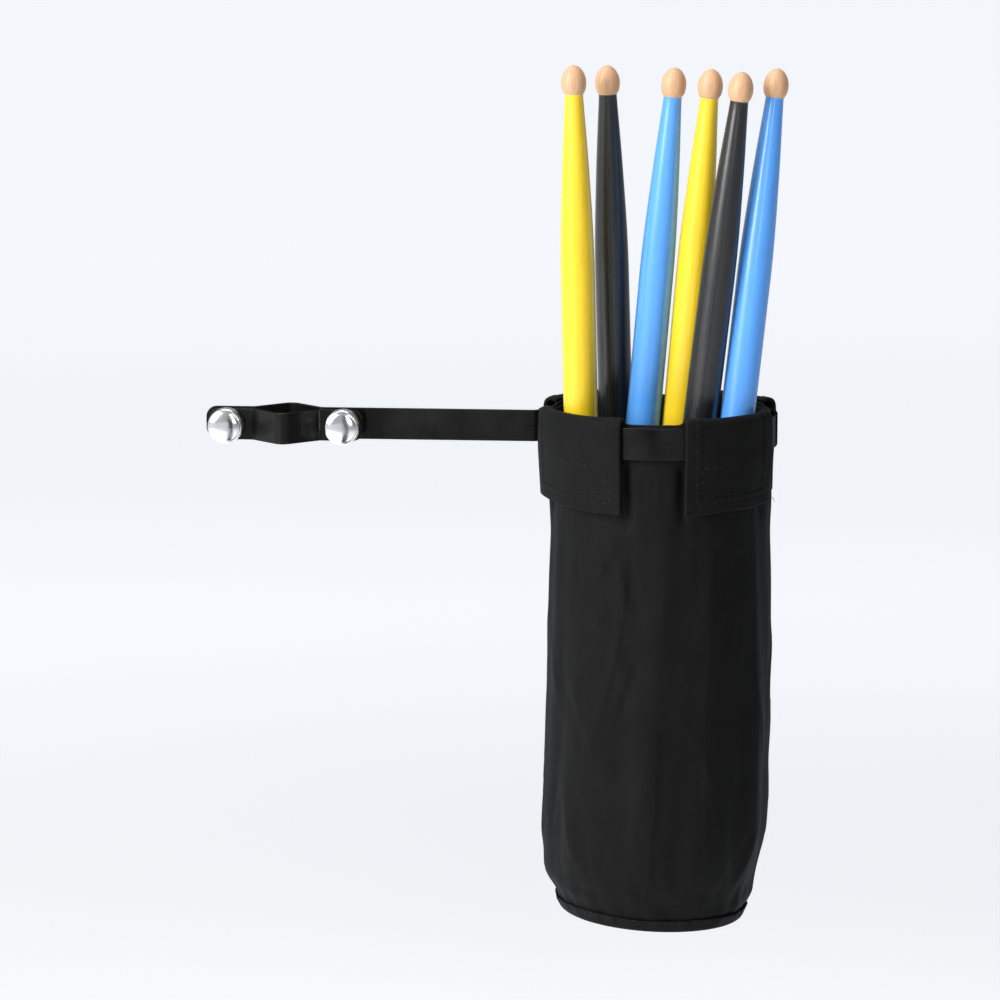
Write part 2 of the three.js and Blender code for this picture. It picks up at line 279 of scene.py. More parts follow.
def lathe(name, profile, count, mat, place, shift, sharp=None, relief=None, tip=None):
    """Turns (radius, along) points that start and end on the axis. place(radius, along, angle)
    gives xyz, relief(angle, along, radius) adds to the radius, and tip is a second material
    and the first band of faces it covers."""
    profile = np.asarray(profile, float)
    lengths = run_lengths(profile)
    size = len(profile) - 2
    radius = np.repeat(profile[None, 1:-1, 0], count, 0)
    along = np.repeat(profile[None, 1:-1, 1], count, 0)
    angle = (np.arange(count) * TAU / count)[:, None] + 0 * radius
    if relief:
        radius = radius + relief(angle, along, radius)
    poles = place(np.zeros(2), profile[[0, -1], 1], np.zeros(2))
    verts = np.vstack([place(radius, along, angle).reshape(-1, 3), poles])
    first, last = len(verts) - 2, len(verts) - 1
    u_step = profile[:, 0].max() * TAU / count
    faces, uv, bands = [], [], []
    for i in range(count):
        row, next_row = i * size, (i + 1) % count * size
        left, right = u_step * i, u_step * (i + 1)
        faces.append((first, row, next_row))
        uv.append([(left, lengths[0]), (left, lengths[1]), (right, lengths[1])])
        for j in range(size - 1):
            faces.append((row + j, next_row + j, next_row + j + 1, row + j + 1))
            uv.append(quad_uv(left, right, lengths[j + 1], lengths[j + 2]))
        faces.append((last, next_row + size - 1, row + size - 1))
        uv.append([(left, lengths[-1]), (right, lengths[-2]), (left, lengths[-2])])
        bands += range(size + 1)
    if tip:
        tip = (tip[0], [int(band >= tip[1]) for band in bands])
    return new_mesh(name, verts, faces, mat, shift, uv, tip, sharp)


# ------------------------------------------------------------------ stitching
STITCH_R = 0.28
STITCH_SINK = 0.06
STITCH_SIDES = 6
# Five stations along a stitch: place in its length, share of the radius, height off the cloth.
STITCH_AT = np.array([-0.5, -0.36, 0.0, 0.36, 0.5])
STITCH_GIRTH = np.array([0.0, 0.8, 1.0, 0.8, 0.0])
STITCH_LIFT = np.array([-1.2, -0.2, 0.35, -0.2, -1.2]) * STITCH_R - STITCH_SINK


def seam_run(surface, across, down, lift, closed=False):
    """A run of stitching on a surface: points, normals and whether it closes on itself."""
    points, normals = surface(*np.broadcast_arrays(across, down))
    return points + normals * lift, normals, closed


def box_runs(surface, left, right, top, bottom, counts, lift):
    """Runs over both level edges and then both upright edges of a box."""
    level = np.linspace(left, right, counts[0])
    upright = np.linspace(top, bottom, counts[1])
    runs = [seam_run(surface, level, down, lift) for down in (top, bottom)]
    return runs + [seam_run(surface, across, upright, lift) for across in (left, right)]


def stitches(name, runs, length=2.6, gap=1.1):
    """Separate threads laid along the runs."""
    verts, faces = [], []
    sides = STITCH_SIDES
    for points, normals, closed in runs:
        if closed:
            points, normals = np.r_[points, points[:1]], np.r_[normals, normals[:1]]
        lengths = run_lengths(points)
        count = max(1, int(lengths[-1] / (length + gap)))
        step = lengths[-1] / count
        for c in range(count):
            middle = (c + 0.5) * step
            span = (length + stitch_random.uniform(-0.15, 0.15)) * STITCH_AT + middle
            at = np.stack([np.interp(span, lengths, points[:, i]) for i in range(3)], -1)
            up = unit(np.stack([np.interp(span, lengths, normals[:, i]) for i in range(3)], -1))
            side = np.cross(unit(at[-1] - at[0]), up)
            base = len(verts)
            top = base + 1 + 3 * sides
            at = at + up * STITCH_LIFT[:, None]
            verts.append(at[0])
            for i in (1, 2, 3):
                for q in range(sides):
                    turn = q * TAU / sides
                    spoke = side[i] * math.cos(turn) + up[i] * math.sin(turn) * 0.8
                    verts.append(at[i] + spoke * STITCH_R * STITCH_GIRTH[i])
            verts.append(at[4])
            for q in range(sides):
                r = (q + 1) % sides
                faces.append((base, base + 1 + q, base + 1 + r))
                for i in range(2):
                    low = base + 1 + i * sides
                    faces.append((low + q, low + sides + q, low + sides + r, low + r))
                low = base + 1 + 2 * sides
                faces.append((low + q, top, low + r))
    return new_mesh(name, verts, faces, THREAD)


# ------------------------------------------------------------------ materials
class Shader:
    """A material under construction; each method adds a node and returns its output."""

    def __init__(self, name):
        self.mat = bpy.data.materials.new(name)
        self.mat.use_nodes = True
        self.tree = self.mat.node_tree

    def put(self, socket, value):
        if isinstance(value, bpy.types.NodeSocket):
            self.tree.links.new(value, socket)
        elif socket.type == "RGBA":
            socket.default_value = (*value, 1)
        else:
            socket.default_value = value

    def node(self, kind, inputs=(), **settings):
        """A node with its inputs set by name or number."""
        node = self.tree.nodes.new("ShaderNode" + kind)
        for key, value in settings.items():
            setattr(node, key, value)
        for key, value in dict(inputs).items():
            self.put(node.inputs[key], value)
        return node

    def math(self, operation, *values):
        return self.node("Math", enumerate(values), operation=operation).outputs[0]

    def add(self, first, second):
        return self.math("ADD", first, second)

    def mul(self, first, second):
        return self.math("MULTIPLY", first, second)

    def sine(self, value):
        return self.math("SINE", value, 0.0)

    def weighted(self, *terms):
        """The sum of (value, weight) pairs."""
        total = self.mul(*terms[0])
        for term in terms[1:]:
            total = self.add(total, self.mul(*term))
        return total

    def mix(self, factor, first, second):
        inputs = {0: factor, 6: first, 7: second}
        return self.node("Mix", inputs, data_type="RGBA").outputs[2]

    def ramp(self, value, span, to=(0.0, 1.0)):
        """Carries the span smoothly to another range."""
        inputs = enumerate((value, *span, *to))
        return self.node("MapRange", inputs, interpolation_type="SMOOTHSTEP").outputs[0]

    def noise(self, vector, scale, detail=3.0, rough=0.5):
        inputs = {"Vector": vector, "Scale": scale, "Detail": detail, "Roughness": rough}
        return self.node("TexNoise", inputs).outputs[0]

    def object_coords(self):
        return self.node("TexCoord").outputs["Object"]

    def pointiness(self):
        return self.node("NewGeometry").outputs["Pointiness"]

    def stretched(self, vector, scale):
        return self.node("VectorMath", {0: vector, 1: scale}, operation="MULTIPLY").outputs[0]

    def uv(self):
        return self.node("UVMap", uv_map="uv_mm").outputs[0]

    def split(self, vector):
        return self.node("SeparateXYZ", {0: vector}).outputs

    def bump(self, height, distance, strength, normal=None):
        inputs = {"Strength": strength, "Distance": distance, "Height": height}
        if normal is not None:
            inputs["Normal"] = normal
        return self.node("Bump", inputs).outputs[0]

    def surface(self, **inputs):
        """Sets the surface's inputs, named with _ for each space, and returns the material."""
        for key, value in inputs.items():
            self.put(self.tree.nodes["Principled BSDF"].inputs[key.replace("_", " ")], value)
        return self.mat


def brighter(colour, gain, lift):
    return tuple(min(1, channel * gain + lift) for channel in colour)


def weave(name, dark, light, sheen, pitch=0.95, depth=0.00006, twill=False):
    """Woven cloth: thread crests, slubs, a painted highlight on raised places and a slight sheen."""
    m = Shader(name)
    uv = m.uv()
    u, v = m.split(uv)[:2]
    turns = TAU / pitch
    warp = m.sine(m.mul(u, turns))
    weft_phase = m.mul(v, turns)
    if twill:
        weft_phase = m.add(weft_phase, m.mul(u, turns * 0.5))
    # thread crests, brought to 0 to 1
    crests = m.math("MULTIPLY_ADD", m.mul(warp, m.sine(weft_phase)), 0.5, 0.5)
    slubs = m.add(
        m.noise(m.stretched(uv, scale=(0.10, 2.2, 1)), scale=1.0, detail=2),
        m.noise(m.stretched(uv, scale=(2.2, 0.10, 1)), scale=1.0, detail=2),
    )
    coords = m.object_coords()
    broad = m.noise(coords, scale=28.0, detail=4, rough=0.6)
    fine = m.noise(coords, scale=900.0, detail=2, rough=0.6)
    tone = m.weighted(
        (crests, 0.35),
        (m.ramp(slubs, span=(0.6, 1.4)), 0.4),
        (m.ramp(broad, span=(0.3, 0.7)), 0.25),
    )
    # painted highlight: raised places of the cloth are made lighter in colour, broken up by fine
    # noise
    raised_highlight = m.mul(m.ramp(m.pointiness(), span=(0.515, 0.58)), m.ramp(fine, span=(0.35, 0.75)))
    # the painted highlight on raised places shows at half strength
    colour = m.mix(m.mul(raised_highlight, 0.5), m.mix(tone, dark, light), brighter(light, gain=3.2, lift=0.02))
    height = m.weighted((crests, 0.75), (slubs, 0.35), (fine, 0.25))
    threads = m.bump(height, distance=depth, strength=0.9)
    polish = m.weighted((crests, 0.5), (broad, 0.5))
    return m.surface(
        Base_Color=colour,
        Roughness=m.ramp(polish, span=(0.2, 0.9), to=(0.8, 0.62)),
        Sheen_Weight=sheen,
        Sheen_Roughness=0.45,
        Sheen_Tint=(0.8, 0.85, 0.95),
        Specular_IOR_Level=0.13,
        Normal=m.bump(broad, distance=0.0006, strength=0.5, normal=threads),
    )


def fuzzy(name, dark, light, scale, depth):
    """Hook or loop tape."""
    m = Shader(name)
    coords = m.object_coords()
    pile = m.noise(coords, scale=scale, detail=3, rough=0.7)
    patches = m.noise(coords, scale=scale * 0.25, detail=2)
    return m.surface(
        Base_Color=m.mix(m.ramp(pile, span=(0.35, 0.7)), dark, light),
        Roughness=m.ramp(patches, span=(0.3, 0.7), to=(0.75, 0.95)),
        Sheen_Weight=0.06,
        Sheen_Roughness=0.6,
        Specular_IOR_Level=0.2,
        Normal=m.bump(pile, distance=depth, strength=0.9),
    )


def black_coat():
    """Powder coat on steel: fine orange peel, handling marks and edges rubbed brighter."""
    black = (0.0028, 0.0028, 0.003)
    m = Shader("black_coat")
    coords = m.object_coords()
    peel = m.noise(coords, scale=1500.0, detail=2)
    marks = m.noise(m.stretched(coords, scale=(1, 1, 5)), scale=160.0, detail=5, rough=0.65)
    smudge = m.noise(coords, scale=35.0)
    rubbed = m.mul(m.ramp(m.pointiness(), span=(0.52, 0.60)), m.ramp(marks, span=(0.42, 0.62)))
    colour = m.mix(m.ramp(smudge, span=(0.3, 0.75)), black, brighter(black, gain=1.7, lift=0.004))
    # rubbed edges show at 0.3 strength, and marks add up to 0.1 of roughness
    colour = m.mix(m.mul(rubbed, 0.3), colour, (0.16, 0.16, 0.165))
    rough = m.add(
        m.ramp(smudge, span=(0.25, 0.8), to=(0.22, 0.35)),
        m.mul(m.ramp(marks, span=(0.55, 0.75)), 0.1),
    )
    # the coat is dull at the rim of a curve, where gloss paint would turn pale
    rim = m.node("LayerWeight", {"Blend": 0.5}).outputs["Facing"]
    facing = m.ramp(rim, span=(0.5, 0.85), to=(1.0, 0.0))
    return m.surface(
        Base_Color=colour,
        Roughness=rough,
        Metallic=0.0,
        Specular_IOR_Level=m.mul(facing, 0.16),
        Coat_Weight=m.mul(facing, 0.06),
        Coat_Roughness=0.18,
        Normal=m.bump(peel, distance=0.00003, strength=0.5),
    )


def chrome():
    """Polished plating with fine scratches and a light haze."""
    bright = (0.86, 0.87, 0.89)
    m = Shader("chrome")
    coords = m.object_coords()
    scratch = m.noise(m.stretched(coords, scale=(1, 0.12, 1)), scale=2600.0, rough=0.6)
    haze = m.noise(coords, scale=120.0, detail=4, rough=0.6)
    rough = m.ramp(haze, span=(0.3, 0.8), to=(0.084, 0.216))
    return m.surface(
        Base_Color=m.mix(m.ramp(haze, span=(0.35, 0.8)), bright, brighter(bright, 0.9, lift=0)),
        Metallic=1.0,
        # scratches add up to 0.05 of roughness
        Roughness=m.add(rough, m.mul(scratch, 0.05)),
        Normal=m.bump(scratch, distance=0.000004, strength=0.35),
    )


def zinc():
    m = Shader("zinc")
    coords = m.object_coords()
    grain = m.noise(coords, scale=420.0, detail=5, rough=0.65)
    blotch = m.ramp(m.noise(coords, scale=90.0), span=(0.3, 0.7))
    return m.surface(
        Base_Color=m.mix(blotch, (0.5, 0.51, 0.53), (0.66, 0.65, 0.6)),
        Metallic=1.0,
        Roughness=m.ramp(grain, span=(0.3, 0.7), to=(0.28, 0.5)),
        Normal=m.bump(grain, distance=0.00003, strength=0.4),
    )


def lacquer(name, colour, shade, rough=0.26):
    """Coloured lacquer over turned wood: the long grain shows faintly, with a few rubs."""
    m = Shader(name)
    uv = m.uv()
    grain = m.noise(m.stretched(uv, scale=(1.6, 0.035, 1)), scale=1.0, detail=4, rough=0.6)
    pores = m.noise(m.stretched(uv, scale=(5.0, 0.22, 1)), scale=1.0, detail=2)
    rub = m.noise(m.object_coords(), scale=220.0, detail=4, rough=0.6)
    base = m.mix(m.ramp(grain, span=(0.35, 0.7)), colour, shade)
    # rubs show at quarter strength and add up to 0.1 of roughness
    rub_tint = m.mul(m.ramp(rub, span=(0.62, 0.8)), 0.25)
    rub_rough = m.mul(m.ramp(rub, span=(0.6, 0.8)), 0.1)
    height = m.weighted((grain, 0.5), (m.ramp(pores, span=(0.3, 0.5)), 0.5))
    grain_rough = m.ramp(grain, span=(0.3, 0.7), to=(rough - 0.04, rough + 0.08))
    return m.surface(
        Base_Color=m.mix(rub_tint, base, brighter(colour, gain=1.25, lift=0.03)),
        Roughness=m.add(grain_rough, rub_rough),
        Coat_Weight=0.5,
        Coat_Roughness=0.2,
        Specular_IOR_Level=0.5,
        Normal=m.bump(height, distance=0.00003, strength=0.5),
    )


def bare_wood():
    m = Shader("bare_wood")
    uv = m.uv()
    grain = m.noise(m.stretched(uv, scale=(1.3, 0.09, 1)), scale=1.0, detail=5, rough=0.6)
    rings = m.noise(m.stretched(uv, scale=(3.5, 0.12, 1)), scale=1.0, detail=2)
    colour = m.mix(m.ramp(grain, span=(0.3, 0.75)), (0.70, 0.44, 0.26), (0.50, 0.27, 0.14))
    # growth rings show at 0.35 strength
    ring_tint = m.mul(m.ramp(rings, span=(0.55, 0.7)), 0.35)
    return m.surface(
        Base_Color=m.mix(ring_tint, colour, (0.4, 0.2, 0.1)),
        Roughness=m.ramp(grain, span=(0.3, 0.7), to=(0.42, 0.58)),
        Specular_IOR_Level=0.4,
        Normal=m.bump(grain, distance=0.00005, strength=0.5),
    )


def studio_floor_material():
    """A pale floor with its own glow: one for the camera, another for the light it gives."""
    pale = (0.78, 0.79, 0.81)
    m = Shader("studio_floor")
    coords = m.object_coords()
    cloud = m.noise(coords, scale=3.0)
    distance = m.node("VectorMath", {0: coords}, operation="LENGTH").outputs["Value"]
    # evened out with distance for the camera; the light it throws back is weaker on the right
    seen = m.add(
        m.ramp(distance, span=(1.1, 2.8), to=(0.30, 0.575)),
        m.ramp(distance, span=(2.8, 6.5), to=(0.0, 0.09)),
    )
    given = m.ramp(m.split(coords)[0], span=(-1.2, 1.2), to=(0.44, 0.08))
    camera_ray = m.node("LightPath").outputs["Is Camera Ray"]
    other_ray = m.math("SUBTRACT", 1.0, camera_ray)
    return m.surface(
        Base_Color=m.mix(cloud, pale, brighter(pale, gain=0.985, lift=0)),
        Roughness=0.7,
        Specular_IOR_Level=0.2,
        Emission_Color=(0.95, 0.97, 1.0),
        Emission_Strength=m.weighted((seen, camera_ray), (given, other_ray)),
    )


CLOTH = weave(
    "bag_cloth", dark=(0.0018, 0.0018, 0.0019), light=(0.0058, 0.0058, 0.0060), sheen=0.014
)
LINING = weave(
    "hem_cloth", dark=(0.0022, 0.0022, 0.0023), light=(0.007, 0.007, 0.0073), sheen=0.02, pitch=0.7
)
BINDING = weave(
    "binding_tape", dark=(0.0018, 0.0018, 0.0019), light=(0.006, 0.006, 0.0063),
    sheen=0.014, pitch=1.1, depth=0.0001, twill=True,
)
HOOK = fuzzy(
    "hook_tape", dark=(0.0035, 0.0035, 0.0038), light=(0.011, 0.011, 0.012),
    scale=1500.0, depth=0.0003,
)
LOOP = fuzzy(
    "loop_tape", dark=(0.005, 0.005, 0.0053), light=(0.016, 0.016, 0.017),
    scale=1100.0, depth=0.0006,
)
THREAD = weave(
    "thread", dark=(0.0028, 0.0028, 0.003), light=(0.0082, 0.0082, 0.0086),
    sheen=0.016, pitch=0.35,
)
COAT = black_coat()
CHROME = chrome()
ZINC = zinc()
STICK_LACQUER = {
    "yellow": lacquer("yellow_lacquer", colour=(0.88, 0.63, 0.02), shade=(0.80, 0.54, 0.014)),
    "blue": lacquer("blue_lacquer", colour=(0.10, 0.37, 0.90), shade=(0.08, 0.31, 0.84)),
    "black": lacquer(
        "black_lacquer", colour=(0.009, 0.0095, 0.011), shade=(0.015, 0.0155, 0.017), rough=0.3
    ),
}
WOOD = bare_wood()

# ------------------------------------------------------------------ arm and loose jaw
BAR_WIDTH, BAR_THICK = 15.0, 2.0
BAR_MID = 3.5  # from the tube's axis plane to a bar's mid-line
BAR_OUTER = BAR_MID + BAR_THICK / 2
BAR_EDGE = 0.35  # rounding of a bar's long edges
TUBE_R = 12.7
# A right-angled V over the tube: its peak, and where its sides meet the straight bar.
PEAK = TUBE_R * math.sqrt(2) + math.sqrt(2)
V_END = PEAK - BAR_MID
SCREW_X = 28.0
SCREW_HOLE_R = 3.4
RING_X = 178  # ring centre, in the clamp's frame
FLANGE_R = 57.3  # mid-line of the arm's end that lies along the ring


class BarLine:
    """A bar's mid-line of straight runs and arcs, read by length."""

    def __init__(self, corners):
        """corners: (x, y, bend radius); the first and last are the ends."""
        self.parts = []  # (length, kind, data)
        points = [np.array(corner[:2], float) for corner in corners]
        start = points[0]
        for i in range(1, len(corners) - 1):
            corner, radius = points[i], corners[i][2]
            back, ahead = unit(points[i - 1] - corner), unit(points[i + 1] - corner)
            half = math.acos(np.clip(back @ ahead, -1, 1)) / 2
            reach = radius / math.tan(half)
            first, last = corner + back * reach, corner + ahead * reach
            centre = corner + unit(back + ahead) * (radius / math.sin(half))
            self.line(start, first)
            x, y = first - centre
            end_x, end_y = last - centre
            sweep = np.sign(x * end_y - y * end_x) * (math.pi - 2 * half)
            self.arc(centre, radius, math.atan2(y, x), sweep)
            start = last
        self.line(start, points[-1])

    @property
    def length(self):
        return sum(part[0] for part in self.parts)

    def line(self, start, end):
        length = np.linalg.norm(end - start)
        if length > 1e-6:
            self.parts.append((length, "line", (start, (end - start) / length)))

    def arc(self, centre, radius, start_angle, sweep):
        data = (np.array(centre, float), radius, start_angle, sweep)
        self.parts.append((abs(radius * sweep), "arc", data))

    def at(self, along):
        """Point and left-hand normal at a length along the line."""
        for length, kind, data in self.parts[:-1]:
            if along <= length:
                break
            along -= length
        else:
            length, kind, data = self.parts[-1]
        if kind == "line":
            start, heading = data
            point = start + heading * along
        else:
            centre, radius, start_angle, sweep = data
            angle = start_angle + sweep * along / length
            point = centre + radius * np.array([math.cos(angle), math.sin(angle)])
            heading = np.array([-math.sin(angle), math.cos(angle)]) * np.sign(sweep)
        return point, np.array([-heading[1], heading[0]])

    def cuts(self):
        """Lengths at which the bar needs a cross cut to bend smoothly."""
        cuts, start = [], 0.0
        for length, kind, data in self.parts:
            if kind == "arc":
                count = max(3, int(abs(data[3]) / math.radians(4)))
                cuts += [start + length * i / count for i in range(count + 1)]
            start += length
        return cuts


def bar_outline(name, length, holes, start_r, end_r):
    """A flat strip along X with rounded corners, edges and holes, as a mesh in millimetres."""
    curve = bpy.data.curves.new(name, "CURVE")
    curve.dimensions = "2D"
    curve.fill_mode = "BOTH"
    curve.resolution_u = 1
    half = BAR_WIDTH / 2

    def add_loop(points):
        loop = curve.splines.new("POLY")
        loop.points.add(len(points) - 1)
        for point, (x, y) in zip(loop.points, points):
            point.co = (x, y, 0, 1)
        loop.use_cyclic_u = True

    # the outline is drawn small, as the bevel adds the edge rounding to it
    corners = (
        (length - end_r, half - end_r, end_r - BAR_EDGE, 0),
        (start_r, half - start_r, start_r - BAR_EDGE, 90),
        (start_r, -half + start_r, start_r - BAR_EDGE, 180),
        (length - end_r, -half + end_r, end_r - BAR_EDGE, 270),
    )
    add_loop(round_corners(corners, 8))
    hole_r = SCREW_HOLE_R + BAR_EDGE
    for x in holes:
        angles = -np.arange(32) * TAU / 32
        add_loop([(x + hole_r * math.cos(a), hole_r * math.sin(a)) for a in angles])
    curve.extrude = BAR_THICK / 2 - BAR_EDGE
    curve.bevel_depth = BAR_EDGE
    curve.bevel_resolution = 2
    temporary = link(name + "_tmp", curve)
    bpy.context.view_layer.update()
    mesh = bpy.data.meshes.new_from_object(temporary)
    bpy.data.objects.remove(temporary)
    return mesh


def flat_bar(name, line, holes, start_r, end_r):
    """A flat strip bent along the line."""
    length = line.length
    mesh = bar_outline(name, length, holes, start_r, end_r)
    bm = bmesh.new()
    bm.from_mesh(mesh)
    bmesh.ops.remove_doubles(bm, verts=bm.verts, dist=1e-4)
    for cut in line.cuts():
        geometry = bm.verts[:] + bm.edges[:] + bm.faces[:]
        bmesh.ops.bisect_plane(
            bm, geom=geometry, dist=1e-4, plane_co=(cut, 0, 0), plane_no=(1, 0, 0)
        )
    bmesh.ops.recalc_face_normals(bm, faces=bm.faces)
    uv_layer = bm.loops.layers.uv.new("uv_mm")
    for face in bm.faces:
        for loop in face.loops:
            loop[uv_layer].uv = (loop.vert.co.x, loop.vert.co.y)
    for vert in bm.verts:
        along = min(max(vert.co.x, 0.0), length)
        point, normal = line.at(along)
        past_end = (vert.co.x - along) * np.array([normal[1], -normal[0]])
        x, y = point + normal * vert.co.z + past_end
        vert.co = Vector(((x + CLAMP[0]) * MM, (y + CLAMP[1]) * MM, (vert.co.y + CLAMP[2]) * MM))
    bmesh.ops.recalc_face_normals(bm, faces=bm.faces)
    bm.to_mesh(mesh)
    bm.free()
    mesh.materials.clear()
    mesh.materials.append(COAT)
    set_sharp(mesh, 40)
    obj = link(name, mesh)
    weight_normals(obj)
    return obj


def make_arm():
    """The fixed bar: clamp face, V, straight run and an end curved along the ring."""
    left_end = 39.5
    bend_x = RING_X - FLANGE_R
    line = BarLine([
        (-left_end, BAR_MID, 0),
        (-V_END, BAR_MID, 3),
        (0, PEAK, 4),
        (V_END, BAR_MID, 3),
        (bend_x, BAR_MID, 3.5),
        (bend_x + 0.25, BAR_MID + 5.6, 0),
    ])
    line.arc((RING_X, BAR_MID), FLANGE_R, rad(180 - 5.6), -rad(9.2))
    # the right-hand hole lies on the straight run, which is the part after the V's last bend
    v_length = sum(part[0] for part in line.parts[:6])
    straight_x = line.parts[6][2][0][0]
    holes = [left_end - SCREW_X, v_length + (SCREW_X - straight_x)]
    arm = flat_bar("support_arm_bar", line, holes, start_r=5.0, end_r=2.0)
    tell(arm, replaces="support_arm")


def make_jaw():
    """The loose bar, with its V facing the arm's."""
    end = 37
    line = BarLine([
        (end, -BAR_MID, 0),
        (V_END, -BAR_MID, 3),
        (0, -PEAK, 4),
        (-V_END, -BAR_MID, 3),
        (-end, -BAR_MID, 0),
    ])
    inset = end - SCREW_X
    jaw = flat_bar("clamp_jaw_bar", line, [inset, line.length - inset], start_r=5.0, end_r=5.0)
    tell(jaw, "clamp_jaw", "clamp_jaw")


# ------------------------------------------------------------------ ring and rivets
RING_INNER, RING_OUTER, RING_HALF, RING_EDGE = 54, 56, 7.5, 0.45
RIVET_ANGLE = rad(180 - 9.4)


def make_ring():
    inner, outer = RING_INNER + RING_EDGE, RING_OUTER - RING_EDGE
    half = RING_HALF - RING_EDGE
    corners = (
        (outer, half, RING_EDGE, 0),
        (inner, half, RING_EDGE, 90),
        (inner, -half, RING_EDGE, 180),
        (outer, -half, RING_EDGE, 270),
    )
    profile = np.array(round_corners(corners, 4))
    count = 200
    radius, deg = np.meshgrid(profile[:, 0], np.arange(count) * 360.0 / count)
    v_mm = run_lengths(np.r_[profile, profile[:1]])
    grid = polar(radius, deg, profile[None, :, 1])
    ring = torus_mesh("mouth_ring_band", grid, around(count, RING_OUTER), v_mm, COAT, sharp=50)
    weight_normals(ring)
    tell(ring, replaces="mouth_ring")


def make_rivet(name, rivet_z):
    """A rivet through ring and arm, with a domed outer head."""
    # radius, distance from the ring's axis
    profile = [(0, 53.35), (2.1, 53.36), (2.3, 53.5), (1.5, 53.75), (1.5, 58.5)]
    profile += [
        (3.15 * math.cos(rad(t)), 58.55 + 1.6 * math.sin(rad(t))) for t in range(0, 90, 10)
    ]
    profile += [(0, 60.15)]

    def place(radius, along, angle):
        side = radius * np.cos(angle)
        x = along * math.cos(RIVET_ANGLE) - side * math.sin(RIVET_ANGLE)
        y = along * math.sin(RIVET_ANGLE) + side * math.cos(RIVET_ANGLE)
        return np.stack([x, y, rivet_z + radius * np.sin(angle)], -1)

    rivet = lathe(name + "_head", profile, 28, COAT, place, RING, sharp=45)
    tell(rivet, replaces=name)


# ------------------------------------------------------------------ thumb screws and nuts
SEAT_GAP = 0.3
SEAT_Y = -BAR_OUTER - SEAT_GAP  # underside of a screw's head, in front of the jaw
NUT_Y = BAR_OUTER + SEAT_GAP
NUT_THICK = 5.0
NUT_HALF_FLAT = 5.0
NUT_CHAMFER_R = 5.25

# Head of a thumb screw and the plain start of its shank: (radius, distance from the seat).
SCREW_HEAD = [
    (0, -10.0), (1.5, -9.97), (3.0, -9.9), (4.5, -9.72), (5.8, -9.46), (6.6, -9.22), (6.85, -9.05),
    (7.1, -9.0), (7.35, -9.0), (7.6, -8.93), (7.95, -8.7), (8.25, -8.35), (8.42, -8.0), (8.5, -7.6),
    (8.5, -6.2), (8.5, -4.8), (8.5, -3.4), (8.5, -2.1), (8.42, -1.75), (8.1, -1.4), (7.2, -1.2),
    (6.3, -1.15), (6.1, -1.0), (6.1, -0.15), (5.95, 0.0), (4.0, 0.0), (3.05, 0.02), (3.0, 0.3),
    (3.0, 1.5),
]
SCREW_TIP = [(2.75, 19.5), (2.3, 19.95), (1.5, 20.0), (0, 20.0)]


def thread_wave(along, angle):
    """A triangle wave, 0 to 1, that climbs 1 mm a turn."""
    return 1 - np.abs(2 * ((along + angle / TAU) % 1.0) - 1)


def screw_relief(angle, along, radius):
    """Knurling on the head's rim (along is negative there) and an M6 thread on the shank."""
    on_rim = smooth(-1.6, -2.0, along) * smooth(-8.1, -7.7, along) * (radius > 8.0)
    knurl = -0.38 * (0.5 - 0.5 * np.cos(44 * angle)) ** 0.7 * on_rim
    on_shank = smooth(1.6, 2.2, along) * smooth(19.9, 19.2, along)
    on_shank = on_shank * (radius > 2.0) * (radius < 3.2)
    return knurl - 0.5 * on_shank * thread_wave(along, angle)


def about_screw(screw_x, radius, y, angle):
    x = screw_x + radius * np.cos(angle)
    return np.stack([x, y + 0 * angle, radius * np.sin(angle)], -1)


def make_thumb_screw(side, screw_x):
    profile = SCREW_HEAD + [(3.0, along) for along in np.arange(1.7, 19.2, 0.125)] + SCREW_TIP

    def place(radius, along, angle):
        return about_screw(screw_x, radius, SEAT_Y + along, angle)

    name = "thumb_screw_" + side
    screw = lathe(
        name + "_turned", profile, 176, CHROME, place, CLAMP, sharp=60, relief=screw_relief
    )
    tell(screw, name, name)


def make_nut(side, screw_x):
    """A hexagonal nut with corners up and down, chamfered faces and a threaded bore."""
    count = 72
    angle = np.arange(count) * TAU / count
    flat = NUT_HALF_FLAT / np.cos(((angle + TAU / 12) % (TAU / 6)) - TAU / 12)
    chamfered = np.minimum(flat, NUT_CHAMFER_R)
    cut = (flat - chamfered) * 0.6
    far_y = NUT_Y + NUT_THICK
    mouth = 3.45 + 0 * angle
    rows = [
        (mouth, NUT_Y),
        (chamfered, NUT_Y),
        (flat, NUT_Y + 0.03 + cut),
        (flat, far_y - 0.03 - cut),
        (chamfered, far_y),
        (mouth, far_y),
    ]
    for y in np.linspace(far_y - 0.35, NUT_Y + 0.35, 18):
        rows.append((3.1 + 0.28 * thread_wave(y - SEAT_Y, angle), y))
    grid = np.stack([about_screw(screw_x, radius, y, angle) for radius, y in rows], 1)
    u_mm, v_mm = np.arange(count + 1) * 0.44, np.arange(len(rows) + 1) * 0.6
    nut = torus_mesh("clamp_nut_%s_hex" % side, grid, u_mm, v_mm, ZINC, CLAMP, sharp=30)
    tell(nut, replaces="clamp_nut_" + side)


# ------------------------------------------------------------------ drum sticks
STICKS_TURN = rad(8)  # the whole bunch, about the bag's axis
FLOOR_Z, RIM_Z = -232.8, 9.4  # levels where each stick's axis is placed
STICK_LIFT = 1.3
# colour, place in the name, x and y at the floor, x and y at the rim
STICKS = [
    ("yellow", "left", -32, -5.9, -38.6, -16.3),
    ("black", "left", -11.9, 30.4, -20.4, 9.4),
    ("blue", "middle", -26.9, 10.6, -7.8, -5.9),
    ("yellow", "right", -8.9, 13.5, 9.4, -7.4),
    ("black", "right", -8.2, -5.3, 17.6, -22.5),
    ("blue", "right", 8.6, -26.6, 34.8, -24),
]
